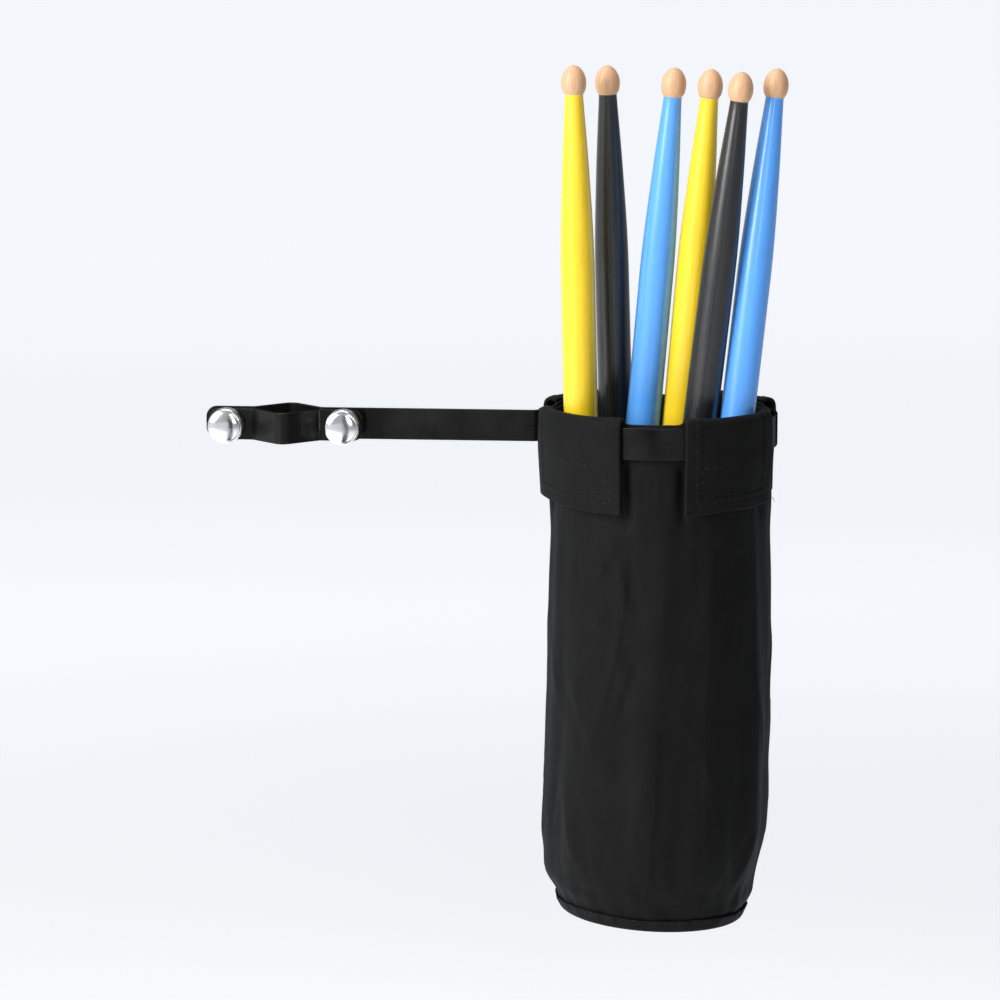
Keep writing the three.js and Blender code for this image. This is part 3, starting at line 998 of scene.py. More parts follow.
# radius against length from the butt
stick_radius = spline(
    [0, 0.25, 0.7, 1.4, 2.4, 3.8, 8, 160, 299, 311, 323, 335, 349, 363, 377, 387, 390.6, 391.5],
    [5.6, 6.5, 7.05, 7.45, 7.8, 7.97, 8, 8, 8, 7.97, 7.74, 7.32, 6.66, 5.94, 5.06, 4.42, 4.22, 4.25],
)
TIP_START, TIP_LENGTH, STICK_LENGTH = 391.5, 13.45, 405.0
# radius against share of the tip's length
tip_radius = spline(
    [0, 0.05, 0.14, 0.28, 0.42, 0.58, 0.74, 0.87, 0.95, 0.985, 1.0],
    [4.25, 4.75, 5.3, 5.72, 5.8, 5.5, 4.65, 3.4, 2.2, 1.2, 0.4],
)


def make_stick(colour, side, floor_x, floor_y, rim_x, rim_y):
    """A lacquered stick, butt down, with a bare wooden tip."""
    cos, sin = math.cos(STICKS_TURN), math.sin(STICKS_TURN)

    def turned(x, y, z):
        return np.array([x * cos - y * sin, x * sin + y * cos, z])

    foot = turned(floor_x, floor_y, FLOOR_Z + STICK_LIFT)
    rim = turned(rim_x, rim_y, RIM_Z + STICK_LIFT)
    axis = unit(rim - foot)
    right = unit(np.cross([0, 1, 0], axis))
    ahead = np.cross(axis, right)
    butt = [0, 0.25, 0.7, 1.4, 2.4, 3.8, 6]
    stations = np.r_[butt, np.linspace(10, 290, 22), np.linspace(300, 390.6, 24), [TIP_START]]
    profile = [(0, 0.0)] + [(float(stick_radius(along)), along) for along in stations]
    tip_band = len(profile) - 1
    for share in np.linspace(0, 1, 22)[1:]:
        profile.append((float(tip_radius(share)), TIP_START + TIP_LENGTH * share))
    profile.append((0, STICK_LENGTH))

    def place(radius, along, angle):
        side_step = (radius * np.cos(angle))[..., None] * right
        return (
            foot + along[..., None] * axis + side_step + (radius * np.sin(angle))[..., None] * ahead
        )

    name = "drumstick_%s_%s" % (colour, side)
    mat = STICK_LACQUER[colour]
    stick = lathe(name + "_turned", profile, 56, mat, place, RING, tip=(WOOD, tip_band))
    tell(stick, name, name)


# ------------------------------------------------------------------ shape of the bag's cloth
# name, start and end angle, how far the lower edge rises at the start and at the end,
# how far the lower corner at the start and at the end stands away from the bag
FLAPS = [
    ("back_right", 22.0, 75.0, (0.6, 1.4), (0.6, 1.2)),
    ("back_left", 105.0, 165.0, (1.2, 0.2), (1.1, 0.4)),
    ("front_left", 195.0, 255.0, (3.4, -0.2), (-1.0, 2.2)),
    ("front_right", 285.0, 338.0, (0.0, 2.6), (1.6, -0.6)),
]
# the open windows between flaps: start and end angle
window_ends = [flap[1] for flap in FLAPS[1:]] + [FLAPS[0][1] + 360]
WINDOWS = [(flap[2], end) for flap, end in zip(FLAPS, window_ends)]

CLOTH_THICK = 1.5
WALL_R = 52.5  # a mean radius, for lengths round the wall
TILT = 0.05  # the base hangs a little lower on the right
BASE_X = -2.6  # and its middle is to the left

# outside radius of the wall against z
wall_radius = spline(
    [-234.0, -229.2, -224.5, -214.5, -199, -187, -156, -126, -76, -33, -18, -9, 0, 9.5],
    [43.1, 45.3, 47.3, 50.5, 53.4, 53.95, 53.7, 53.1, 52.6, 51.8, 52.0, 52.7, 52.9, 52.7],
)
# how far the bag's middle hangs towards +X, against z
sway = spline(
    [-235, -225, -215, -200, -184, -154, -124, -74, -34, -12, 10],
    [-2.7, -2.2, -1.7, -1.0, -0.3, 0.2, 0.6, 0.8, 0.6, 0.0, 0.0],
)

# Soft creases down the bag, as (z, angle) from the top to the bottom, in order round the bag.
CREASES = [
    [(-34, 256), (-80, 255), (-130, 243), (-180, 229), (-232, 221)],
    [(-34, 276), (-80, 274), (-140, 273), (-190, 272), (-232, 270)],
    [(-34, 303), (-80, 299), (-130, 296), (-190, 298), (-232, 303)],
    [(-34, 332), (-90, 330), (-150, 335), (-232, 331)],
    [(-34, 372), (-90, 368), (-160, 365), (-232, 369)],
    [(-34, 408), (-100, 404), (-170, 409), (-232, 404)],
    [(-34, 436), (-110, 440), (-180, 435), (-232, 441)],
    [(-34, 470), (-90, 474), (-150, 471), (-232, 476)],
    [(-34, 508), (-90, 505), (-160, 511), (-232, 507)],
    [(-34, 545), (-90, 549), (-150, 546), (-200, 551), (-232, 549)],
]
crease_angles = [spline(*np.array(crease[::-1], float).T) for crease in CREASES]

# Small folds: angle, z, tilt in radians, length, width, height. Many faint ones at random,
# then chosen ones.
fold_random = np.random.default_rng(7)
FOLDS = [
    (
        fold_random.uniform(0, 360),
        fold_random.uniform(-222, -45),
        fold_random.normal(0, 0.32),
        fold_random.uniform(12, 42),
        fold_random.uniform(1.6, 4.2),
        fold_random.uniform(0.10, 0.42) * fold_random.choice([1, 1, -1]),
    )
    for _ in range(120)
]
FOLDS += [
    (252, -66, 0.25, 26, 3.6, 1.5), (246, -60, -0.5, 14, 2.8, -1.1), (249, -100, 0.45, 30, 4.0, 1.4),
    (257, -118, -0.35, 20, 3.4, -1.1), (236, -140, 0.5, 34, 4.4, 1.4),
    (226, -190, 0.35, 30, 4.6, 1.3), (262, -150, 0.1, 40, 5.0, 0.9), (284, -130, -0.1, 50, 5.0, 0.6),
    (318, -95, -0.2, 40, 4.5, 0.8), (309, -190, 0.3, 34, 4.0, 0.8), (262, -40, -0.9, 10, 2.2, 0.8),
    (288, -42, 0.9, 10, 2.2, 0.7), (212, -178, -0.2, 22, 4.0, 0.9), (330, -205, -0.4, 24, 3.4, 0.8),
    (280, -212, 0.2, 20, 3.2, 0.6), (246, -214, -0.3, 18, 3.0, 0.6), (240, -82, 1.1, 16, 3.0, 1.0),
    (228, -112, -0.7, 18, 3.2, 0.9), (300, -160, 0.8, 20, 3.4, 0.7), (206, -120, 0.4, 24, 3.6, 0.8),
    (340, -140, 0.3, 30, 4.0, 0.8), (10, -100, -0.4, 30, 4.0, 0.9), (60, -80, 0.5, 26, 3.6, 1.1),
    (120, -120, -0.5, 28, 4.0, 1.2), (150, -70, 0.4, 22, 3.4, 1.0),
]


def in_flap(deg, soft=2.0):
    """1 inside a flap's arc, 0 in the windows between flaps."""
    deg = np.mod(deg, 360)
    inside = np.zeros_like(deg, dtype=float)
    for _, start, end, *_ in FLAPS:
        arc = smooth(start - soft, start, deg) * smooth(end + soft, end, deg)
        inside = np.maximum(inside, arc)
    return inside


def facets(deg, z):
    """The wall is nearly flat between creases and turns at each one."""
    creases = np.stack([crease(np.clip(z, -230, -34)) for crease in crease_angles], 0)
    deg = np.where(deg < creases[0], deg + 360.0, deg)
    before = np.full(deg.shape, -1e9)
    after = np.full(deg.shape, 1e9)
    for crease in np.concatenate([creases, creases[:1] + 360.0], 0):
        before = np.where((crease <= deg) & (crease > before), crease, before)
        after = np.where((crease > deg) & (crease < after), crease, after)
    span = np.clip(after - before, 5, 80)
    across = np.clip((deg - before) / span, 0, 1) * 2 - 1
    sag = WALL_R * (1 - np.cos(rad(span / 2)))
    soft, power = 0.10, 1.15  # rounding of the turn and its steepness
    rise = (np.sqrt(across * across + soft**2) - soft) ** power
    bow = 1 - rise / (math.sqrt(1 + soft**2) - soft) ** power
    return 0.42 * np.minimum(sag, 3.4) * (0.45 - bow)


def small_folds(deg, z):
    height = np.zeros(deg.shape)
    arc = rad(deg) * WALL_R
    girth = TAU * WALL_R
    fade = smooth(-34, -46, z) * smooth(-231, -219, z)
    for fold_deg, fold_z, tilt, length, width, fold_height in FOLDS:
        side = (arc - rad(fold_deg) * WALL_R + girth / 2) % girth - girth / 2
        up = z - fold_z
        across = side * math.cos(tilt) + up * math.sin(tilt)
        along = -side * math.sin(tilt) + up * math.cos(tilt)
        near = (np.abs(across) < 4 * width) & (np.abs(along) < 1.6 * length)
        x = across[near] / width
        # steeper on one side than the other
        ridge = np.exp(-x * x * np.where(x > 0, 0.7, 1.6))
        ridge = ridge * np.exp(-((along[near] / length) ** 2) * 1.6)
        height[near] += fold_height * ridge * fade[near]
    return height


def wall_shape(deg, z):
    """How far the cloth stands off its plain tube, in millimetres."""
    deg = np.mod(deg, 360.0)
    flat = np.zeros(np.broadcast(deg, z).shape)
    deg = deg + flat
    z = z + flat
    free = smooth(-31, -75, z) * smooth(-233, -221, z)
    out = free * facets(deg, z)
    out += small_folds(deg, z)
    # slow swell and sag
    swell = 0.35 * np.sin(rad(3 * deg + 40) + z / 38)
    out += free * (swell + 0.25 * np.sin(rad(5 * deg - 70) - z / 27))
    # slack settles low on the left and the right is drawn in
    left = bell(angle_from(deg, 186), 0, 34)
    right = bell(angle_from(deg, 6), 0, 40)
    out += left * (1.0 * bell(z, -192, 13) + 2.4 * bell(z, -216, 9))
    drawn_in = 1.2 * smooth(-140, -165, z) * smooth(-226, -216, z)
    out -= right * (drawn_in + 1.3 * bell(z, -211, 10))
    # gathers where the tube is eased on to the smaller base
    gathers = 0.26 * np.cos(rad(26 * deg) + 0.9 * np.sin(rad(3 * deg)))
    gathers = gathers + 0.22 * np.cos(rad(17 * deg + 30))
    out += smooth(-202, -227, z) * smooth(-234.2, -230, z) * gathers
    # in the windows the cloth bellies out under the ring, and is pinched at their sides
    for start, end in WINDOWS:
        middle, half = (start + end) / 2, (end - start) / 2
        aside = np.abs(angle_from(deg, middle) / half)
        out += 1.2 * smooth(1.05, 0.55, aside) * smooth(-9, -17, z) * smooth(-52, -30, z)
        out -= 1.1 * bell(aside, 1.0, 0.16) * smooth(-9, -14, z) * smooth(-42, -33, z)
    # held in where the tapes are sewn
    out -= 0.25 * in_flap(deg) * smooth(-10, -14, z) * smooth(-34, -30, z)
    # in the ring it has little room
    room = smooth(-8.5, -12, z)
    ripple = 0.18 * np.sin(rad(19 * deg)) * smooth(12, 0, np.abs(z))
    return out * room + (1 - room) * np.clip(out, -0.3, 0.3) + (1 - room) * ripple


DRAPE_COLUMNS, DRAPE_ROWS, DRAPE_FRAMES = 140, 104, 30
DRAPE_Z = np.linspace(-9, -229, DRAPE_ROWS)


def drape():
    """Hangs a sheet of the wall between the ring and the base, a little too large for the space,
    and lets it buckle. Returns how far it moves in or out, by column and row."""
    scale = 0.01  # ten times life size, which suits the solver
    columns, rows = DRAPE_COLUMNS, DRAPE_ROWS
    deg = np.arange(columns) * 360.0 / columns
    z = DRAPE_Z
    radius = wall_radius(z)[None] + wall_shape(deg[:, None], z[None])
    x, y = radius * np.cos(rad(deg))[:, None], radius * np.sin(rad(deg))[:, None]
    points = np.stack([x, y, np.repeat(z[None], columns, 0)], -1) * scale
    faces = []
    for i in range(columns):
        row, next_row = i * rows, (i + 1) % columns * rows
        faces += [(row + j, next_row + j, next_row + j + 1, row + j + 1) for j in range(rows - 1)]
    mesh = bpy.data.meshes.new("drape")
    mesh.from_pydata(points.reshape(-1, 3).tolist(), [], faces)
    sheet = link("drape", mesh)
    # pinned at the top and bottom, and nearly so behind the flaps
    hold = sheet.vertex_groups.new(name="hold")
    flap = in_flap(deg)
    for i in range(columns):
        for j in range(rows):
            weight = 0.9 * flap[i] if z[j] > -32 else 0.0
            if j in (0, 1, rows - 1):
                weight = 1.0
            if weight > 0.02:
                hold.add([i * rows + j], float(weight), "REPLACE")
    modifier = sheet.modifiers.new("drape", "CLOTH")
    cloth = modifier.settings
    cloth.quality = 6
    cloth.mass = 0.25
    cloth.air_damping = 2.0
    cloth.tension_stiffness = cloth.compression_stiffness = 28
    cloth.shear_stiffness = 10
    cloth.bending_model = "ANGULAR"
    cloth.bending_stiffness = 0.9
    cloth.vertex_group_mass = "hold"
    cloth.pin_stiffness = 2.0
    cloth.shrink_min = cloth.shrink_max = -0.014  # negative, so the sheet grows
    modifier.collision_settings.use_collision = False
    modifier.collision_settings.use_self_collision = False
    modifier.point_cache.frame_start = 1
    modifier.point_cache.frame_end = DRAPE_FRAMES
    scene = bpy.context.scene
    for step in range(1, DRAPE_FRAMES + 1):
        scene.frame_set(step)
    hung = sheet.evaluated_get(bpy.context.evaluated_depsgraph_get())
    points = np.empty(len(hung.data.vertices) * 3)
    hung.data.vertices.foreach_get("co", points)
    points = points.reshape(columns, rows, 3) / scale
    scene.frame_set(1)
    bpy.data.objects.remove(sheet)
    bpy.data.meshes.remove(mesh)
    move = np.hypot(points[..., 0], points[..., 1]) - radius
    # most of each row's common movement is taken off, and the rest held within limits
    move -= move.mean(0)[None] * 0.8
    limit = 2.4
    return limit * np.tanh(move / limit)


def draped(deg, z):
    """The draped sheet's movement at an angle and height, softened."""
    if drape_move is None:
        return 0.0
    columns, rows = drape_move.shape
    column = np.mod(deg, 360.0) / 360.0 * columns
    row = (np.asarray(z, float) - DRAPE_Z[0]) / (DRAPE_Z[-1] - DRAPE_Z[0]) * (rows - 1)
    row = np.clip(row, 0, rows - 1.001)
    i, j = np.floor(column).astype(int), np.floor(row).astype(int)
    across, down = column - i, row - j
    across = across * across * (3 - 2 * across)
    i, k = i % columns, (i + 1) % columns
    upper = drape_move[i, j] * (1 - across) + drape_move[k, j] * across
    lower = drape_move[i, j + 1] * (1 - across) + drape_move[k, j + 1] * across
    return 0.38 * (upper * (1 - down) + lower * down) * smooth(-12, -20, z)


def wall_at(deg, z, off=0.0):
    """A point of the wall's outside, moved out by off."""
    z = np.asarray(z, float)
    deg = np.asarray(deg, float)
    radius = wall_radius(z) + wall_shape(deg, z) + draped(deg, z) + off
    x, y = radius * np.cos(rad(deg)), radius * np.sin(rad(deg))
    return np.stack([x + sway(z), y, z - TILT * x * smooth(-190, -236, z)], -1)


def make_wall():
    """The bag's tube: outside from mouth to foot, round the foot, up the inside, over the lip."""
    count = 320
    top = 8.5
    deg = np.arange(count) * 360.0 / count
    flap_rise = 0.9 * in_flap(deg)

    def level(z):
        """A row's height, rising to the flaps near the mouth."""
        return np.full(count, z) if z < 4 else z + flap_rise * (z - 4) / 4

    outside = np.r_[
        np.linspace(8.0, -9, 12), np.linspace(-10.5, -229, 132), np.linspace(-230.5, -233.6, 4)
    ]
    inside = np.r_[
        np.linspace(-232.5, -202, 16), np.linspace(-198, -14, 62), np.linspace(-10, 8.0, 8)
    ]
    rows = [wall_at(deg, level(z)) for z in outside]
    rows += [wall_at(deg, np.full(count, -234.0), off) for off in (-0.4, -1.1)]
    rows += [wall_at(deg, level(z), -CLOTH_THICK) for z in inside]
    for off, lift in ((-1.35, 0.35), (-0.95, 0.6), (-0.55, 0.6), (-0.15, 0.35)):
        rows.append(wall_at(deg, top + flap_rise - 0.5 + lift, off))
    v_mm = np.r_[-outside, 238, 239, 240 + (inside + 236), np.arange(486, 491)]
    wall = torus_mesh("bag_wall_cloth", np.stack(rows, 1), around(count, WALL_R), v_mm, CLOTH)
    tell(wall, replaces="bag_wall")


# ------------------------------------------------------------------ flaps and their tapes
# Middle of a flap's cloth, from the mouth over the ring and down its outside: (radius, z).
FLAP_PATH = [
    (52.4, 9.6), (53.4, 10.35), (54.8, 10.8), (56.2, 10.5), (57.15, 9.6), (57.6, 8.2), (57.75, 6.2),
    (57.8, 2.5), (57.75, -2.5), (57.6, -8), (57.2, -14), (56.8, -20), (56.45, -27), (56.15, -33.6),
]
flap_path, FLAP_LENGTH = path_spline(FLAP_PATH, 400)
HEM_INSET = 5.4  # from a flap's edge to its hem stitching
TAPE_TOP, TAPE_HEIGHT = -12, 19
# Corners of one hook: along the tape, up, and in towards the bag.
HOOK_CORNERS = [
    (-0.2, -0.16, 0), (0.2, -0.16, 0), (0.2, 0.16, 0), (-0.2, 0.16, 0),
    (-0.14, -0.34, 0.75), (0.14, -0.34, 0.75), (0.14, -0.04, 0.75), (-0.14, -0.04, 0.75),
]
HOOK_FACES = [
    (0, 1, 2, 3), (4, 7, 6, 5), (0, 4, 5, 1), (1, 5, 6, 2), (2, 6, 7, 3), (3, 7, 4, 0),
]


def flap_surface(start, end, rises, stands, seed):
    shares = np.linspace(0, 1, len(flap_path))
    heading = unit(np.gradient(flap_path, axis=0))
    phase = np.random.default_rng(seed).uniform(0, TAU, 6)

    def surface(across, down):
        deg = start + (end - start) * across
        radius = np.interp(down, shares, flap_path[:, 0])
        z = np.interp(down, shares, flap_path[:, 1])
        normal_r = np.interp(down, shares, -heading[:, 1])
        normal_z = np.interp(down, shares, heading[:, 0])
        rise = rises[0] * (1 - across) ** 1.5 + rises[1] * across**1.5
        z = z + rise * smooth(0.45, 1.0, down)
        # the sides and corners spring away from the bag, the lower edge waves a little
        side = np.minimum(across, 1 - across) * rad(end - start) * 58
        stand = stands[0] * (1 - across) + stands[1] * across
        wave = smooth(0.25, 1.0, down) * (
            0.35 * np.exp(-side / 5.0)
            + 0.30 * np.sin(phase[0] + across * 9.0)
            + 0.22 * np.sin(phase[1] + across * 17.0 + down * 3)
            + 0.45 * np.exp(-side / 9.0) * smooth(0.6, 1.0, down) * stand
        )
        puff = 0.35 * np.sin(phase[2] + across * 11.0)
        puff = puff * smooth(0.02, 0.12, down) * smooth(0.42, 0.2, down)
        radius = radius + normal_r * (wave + puff)
        dip = 0.25 * np.sin(phase[3] + across * 6.5) * smooth(0.75, 1.0, down)
        z = z + normal_z * (wave * 0.3 + puff) + dip
        return polar(radius, deg, z), polar(normal_r, deg, normal_z)

    return surface


def make_flap(name, start, end, rises, stands, seed):
    """The wall's cloth carried over the ring and down its outside, hemmed and stitched."""
    surface = flap_surface(start, end, rises, stands, seed)
    width = rad(end - start) * 57.5
    body = "flap_" + name

    def hem(across, down):
        """Double cloth along the free edges, with a groove at the stitching."""
        inset = np.minimum(np.minimum(across, 1 - across) * width, (1 - down) * FLAP_LENGTH)
        groove = 0.22 * bell(inset, HEM_INSET, 0.5) * smooth(0.0, 0.1, down)
        return 0.42 * smooth(8.2, 7.2, inset) - groove

    middle = rad((start + end) / 2)
    size = (width, FLAP_LENGTH)
    cloth = plate(body + "_cloth", surface, (62, 84), size, CLOTH_THICK, CLOTH, 0.7, hem)
    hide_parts(body)
    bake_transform(cloth)

    # both sides and the lower edge
    left, bottom = HEM_INSET / width, 1 - HEM_INSET / FLAP_LENGTH
    down = np.linspace(0.06, bottom, 60)
    lift = CLOTH_THICK / 2 + 0.25
    runs = [seam_run(surface, across, down, lift) for across in (left, 1 - left)]
    runs.append(seam_run(surface, np.linspace(left, 1 - left, 60), bottom, lift))
    # a box round the hook tape
    left, right = 8.5 / width, 1 - 8.5 / width
    top, bottom = 1 - 22.5 / FLAP_LENGTH, 1 - 8.6 / FLAP_LENGTH
    box = [(left, top), (right, top), (right, bottom), (left, bottom), (left, top)]
    share = np.linspace(0, 1, 40)
    for (x, y), (next_x, next_y) in zip(box, box[1:]):
        across, down = x + (next_x - x) * share, y + (next_y - y) * share
        runs.append(seam_run(surface, across, down, CLOTH_THICK / 2))
    sewing = stitches(body + "_stitching", runs)
    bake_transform(sewing)


def make_hook_tape(name, start, end):
    """The tape inside a flap, with its hooks in rows."""
    start, end = start + 6, end - 6
    width = rad(end - start) * 56
    body = "flap_" + name

    def surface(across, down):
        deg = start + (end - start) * across
        points = polar(55.75 + (54.85 - 55.75) * down, deg, TAPE_TOP - TAPE_HEIGHT * down)
        return points, unit(polar(1.0, deg, 0.05))

    band_name = "hook_tape_%s_band" % name
    band = plate(band_name, surface, (40, 18), (width, TAPE_HEIGHT), 0.9, HOOK, 0.35)
    tell(band, body, "hook_tape_" + name)

    verts, faces = [], []
    rows, columns = 12, int(width / 1.35)
    for i in range(columns):
        for j in range(rows):
            across = np.array((i + 0.5 + 0.3 * (j % 2)) / (columns + 0.3))
            point, normal = surface(across, np.array((j + 0.7) / (rows + 0.4)))
            angle = math.atan2(point[1], point[0])
            along = np.array([-math.sin(angle), math.cos(angle), 0])
            up = np.array([0, 0, 1.0])
            root = point - normal * 0.42
            faces += [[len(verts) + corner for corner in face] for face in HOOK_FACES]
            for x, z, inward in HOOK_CORNERS:
                verts.append(root - normal * inward + along * x + up * z)
    hooks = new_mesh("hook_tape_%s_hooks" % name, verts, faces, HOOK)
    polygons = hooks.data.polygons
    polygons.foreach_set("use_smooth", np.zeros(len(polygons), bool))
    tell(hooks, body)


def make_loop_tape(name, start, end):
    """The tape sewn to the wall behind a flap."""
    start, end = start + 4, end - 4

    def surface(across, down):
        deg = start + (end - start) * across
        return wall_at(deg, TAPE_TOP - TAPE_HEIGHT * down, 0.85), outward(deg)

    size = (rad(end - start) * 53, TAPE_HEIGHT)
    band = plate("loop_tape_%s_band" % name, surface, (50, 20), size, 1.1, LOOP, 0.5)
    tell(band, replaces="loop_tape_" + name)
    runs = box_runs(
        surface, left=0.04, right=0.96, top=0.1, bottom=0.9, counts=(50, 20), lift=0.5
    )
    tell(stitches("loop_tape_%s_stitching" % name, runs))


def make_mouth_hem():
    """A band inside the mouth, with a row of stitching near each edge."""
    height, edge, half_thick = 15.5, 0.5, 0.45

    def surface(across, down):
        deg = 360 * across
        gap = -CLOTH_THICK - 0.55 - 0.12 * np.sin(rad(31 * deg)) * down
        return wall_at(deg, 7.6 - height * down, gap), -outward(deg)

    count = 240
    shares = edge_steps(14, height, edge)
    across, down = np.meshgrid(np.arange(count) / count, shares, indexing="ij")
    middle, normal = surface(across, down)
    half = (half_thick * edge_round(down, height, edge))[..., None]
    grid = np.concatenate([middle + normal * half, (middle - normal * half)[:, ::-1]], 1)
    v_mm = np.r_[shares * height, 17 + (1 - shares[::-1]) * height, 34]
    band = torus_mesh("mouth_hem_band", grid, around(count, 51), v_mm, LINING)
    tell(band)
    turn = np.linspace(0, 1, 361)[:-1]
    runs = [seam_run(surface, turn, down, half_thick, closed=True) for down in (0.12, 0.88)]
    tell(stitches("mouth_hem_stitching", runs))


def make_side_seam():
    """The lapped seam down the back."""
    height, thick = 216, 0.9

    def surface(across, down):
        z = -13 - height * down
        deg = 90 + (across - 0.5) * 11.5 + 0.6 * np.sin(z / 23)
        return wall_at(deg, z, 0.32), outward(deg)

    lap = plate("side_seam_lap", surface, (10, 150), (10.5, height), thick, CLOTH, 0.45)
    tell(lap)
    down = np.linspace(0.004, 0.992, 220)
    runs = [seam_run(surface, across, down, thick / 2) for across in (0.14, 0.86)]
    tell(stitches("side_seam_stitching", runs))


# ------------------------------------------------------------------ base
BIND_ROWS = 26
# Middle of the binding, from under the base round its edge and up the wall: (radius, z).
BIND_PATH = [
    (39.7, -234.85), (41.8, -234.95), (43.4, -234.85), (44.15, -234.2), (44.75, -233.0),
    (45.5, -231.2), (46.2, -229.4),
]
bind_path, BIND_LENGTH = path_spline(BIND_PATH, BIND_ROWS)
bind_heading = unit(np.gradient(bind_path, axis=0))
bind_share = np.linspace(0, 1, BIND_ROWS)
BIND_HALF = 0.42


def bind_at(deg, off):
    """Rows of the binding at these angles, moved off along its face normal."""
    deg = np.asarray(deg, float)[:, None]
    on_wall = smooth(0.45, 0.9, bind_share)[None]
    ripple = on_wall * (
        0.22 * np.cos(rad(26 * deg) + 0.9 * np.sin(rad(3 * deg)))
        + 0.12 * np.sin(rad(41 * deg))
        + 0.1 * np.sin(rad(7 * deg))
    )
    radius = bind_path[:, 0] + ripple + bind_heading[:, 1] * off
    z = bind_path[:, 1] - bind_heading[:, 0] * off + 0.25 * on_wall * np.sin(rad(5 * deg + 20))
    x = radius * np.cos(rad(deg))
    return np.stack([x + BASE_X, radius * np.sin(rad(deg)), z - TILT * x], -1)


def make_binding():
    """Tape bound round the base's edge, stitched on the wall and underneath."""
    count = 300
    deg = np.arange(count) * 360.0 / count
    half = BIND_HALF * edge_round(bind_share, BIND_LENGTH, 0.5)
    grid = np.concatenate([bind_at(deg, half), bind_at(deg, -half)[:, ::-1]], 1)
    lengths = bind_share * BIND_LENGTH
    v_mm = np.r_[lengths, BIND_LENGTH + 1 + lengths, 2 * BIND_LENGTH + 2]
    tape = torus_mesh("base_binding_tape", grid, around(count, 46), v_mm, BINDING)
    tell(tape, replaces="base_binding")
    deg = np.linspace(0, 360, 721)[:-1]
    wall_row, under_row = 21, 4
    points = bind_at(deg, BIND_HALF)[:, wall_row]
    normals = bind_at(deg, BIND_HALF + 1)[:, wall_row] - points
    under = bind_at(deg, 0.36)[:, under_row]
    runs = [(points, normals, True), (under, np.tile([0.0, 0, -1], (len(deg), 1)), True)]
    tell(stitches("base_binding_stitching", runs, length=2.2, gap=1.0))


def make_base():
    """The floor panel: flat underneath, slightly slack above."""
    shares = np.linspace(0, 1, 30)
    # radius, z: out along the underside, round the edge and back over the top
    profile = [(0, -235.1)]
    for x in shares[1:-1]:
        profile.append((38.8 * x, -235.1 + 0.1 * math.sin(9 * x) * (1 - x) ** 0.5 * x))
    profile += [
        (38.7, -235.0), (39.0, -234.6), (39.1, -234.0), (40.6, -233.75), (41.0, -233.5),
        (41.1, -233.2), (40.9, -232.95), (40.0, -232.85),
    ]
    profile += [(40.8 * x, -232.85 - 0.1 * math.cos(6 * x)) for x in shares[::-1][2:-1]]
    profile.append((0, -232.95))

    def place(radius, z, angle):
        x = radius * np.cos(angle)
        # the underside takes the full tilt, the top a quarter of it
        tilt = TILT * x * (0.25 + 0.75 * smooth(-233.0, -234.4, z))
        return np.stack([x + BASE_X, radius * np.sin(angle), z - tilt], -1)

    base = lathe("bag_base_panel", profile, 120, CLOTH, place, RING)
    # the weave runs straight across the panel
    uv = base.data.uv_layers["uv_mm"].data
    for loop in base.data.loops:
        point = base.data.vertices[loop.vertex_index].co
        uv[loop.index].uv = (point.x * 1000, point.y * 1000)
    tell(base, replaces="bag_base")


def make_loose_threads():
    """Two thread ends at the lower right corner of the front right flap."""
    random = np.random.default_rng(5)
    angle = rad(337.0)
    cos, sin = math.cos(angle), math.sin(angle)
    # start, first direction, length
    ends = [
        ((57.6 * cos, 57.6 * sin, -29.5), (0.8, -0.1, 0.2), 4.2),
        ((57.4 * cos, 57.4 * sin, -31.0), (0.7, 0.2, -0.5), 3.4),
    ]
    steps, sides, thread_r = 12, 5, 0.16
    verts, faces = [], []
    for start, direction, length in ends:
        point, heading = np.array(start), unit(np.array(direction))
        base = len(verts)
        for i in range(steps + 1):
            side = unit(np.cross(heading, [0.3, 0.5, 0.8]))
            other = np.cross(heading, side)
            radius = thread_r * (1 - 0.5 * i / steps)
            for q in range(sides):
                turn = q * TAU / sides
                verts.append(point + (side * math.cos(turn) + other * math.sin(turn)) * radius)
            point = point + heading * (length / steps)
            # wanders at random and droops
            heading = unit(heading + random.normal(0, 0.28, 3) + np.array([0, 0, -0.1]))
        for i in range(steps):
            low = base + i * sides
            for q in range(sides):
                r = (q + 1) % sides
                faces.append((low + q, low + r, low + sides + r, low + sides + q))
        faces.append(tuple(base + q for q in range(sides))[::-1])
        faces.append(tuple(base + steps * sides + q for q in range(sides)))
    threads = new_mesh("loose_threads_front_right", verts, faces, THREAD)
    tell(threads, "flap_front_right")


# ------------------------------------------------------------------ floor, light, camera (metres)
def plain_mesh(name, verts, faces, mat):
    mesh = bpy.data.meshes.new(name)
    mesh.from_pydata(verts, [], faces)
    mesh.materials.append(mat)
    return link(name, mesh)


def make_floor():
    """A wide disc below the bag."""
    count = 64
    radii = [0.4, 0.9, 1.8, 3.5, 7.0, 14.0, 30.0]
    verts, faces = [(0, 0, 0)], []
    for radius in radii:
        for i in range(count):
            angle = i * TAU / count
            verts.append((radius * math.cos(angle), radius * math.sin(angle), 0))
    for i in range(count):
        k = (i + 1) % count
        faces.append((0, 1 + i, 1 + k))
        for j in range(len(radii) - 1):
            low = 1 + j * count
            faces.append((low + i, low + count + i, low + count + k, low + k))
    floor = plain_mesh("studio_floor", verts, faces, studio_floor_material())
    floor.location = (0, 0, -0.36)


LIGHT_AIM = Vector((-0.06, 0.0, 0.2))


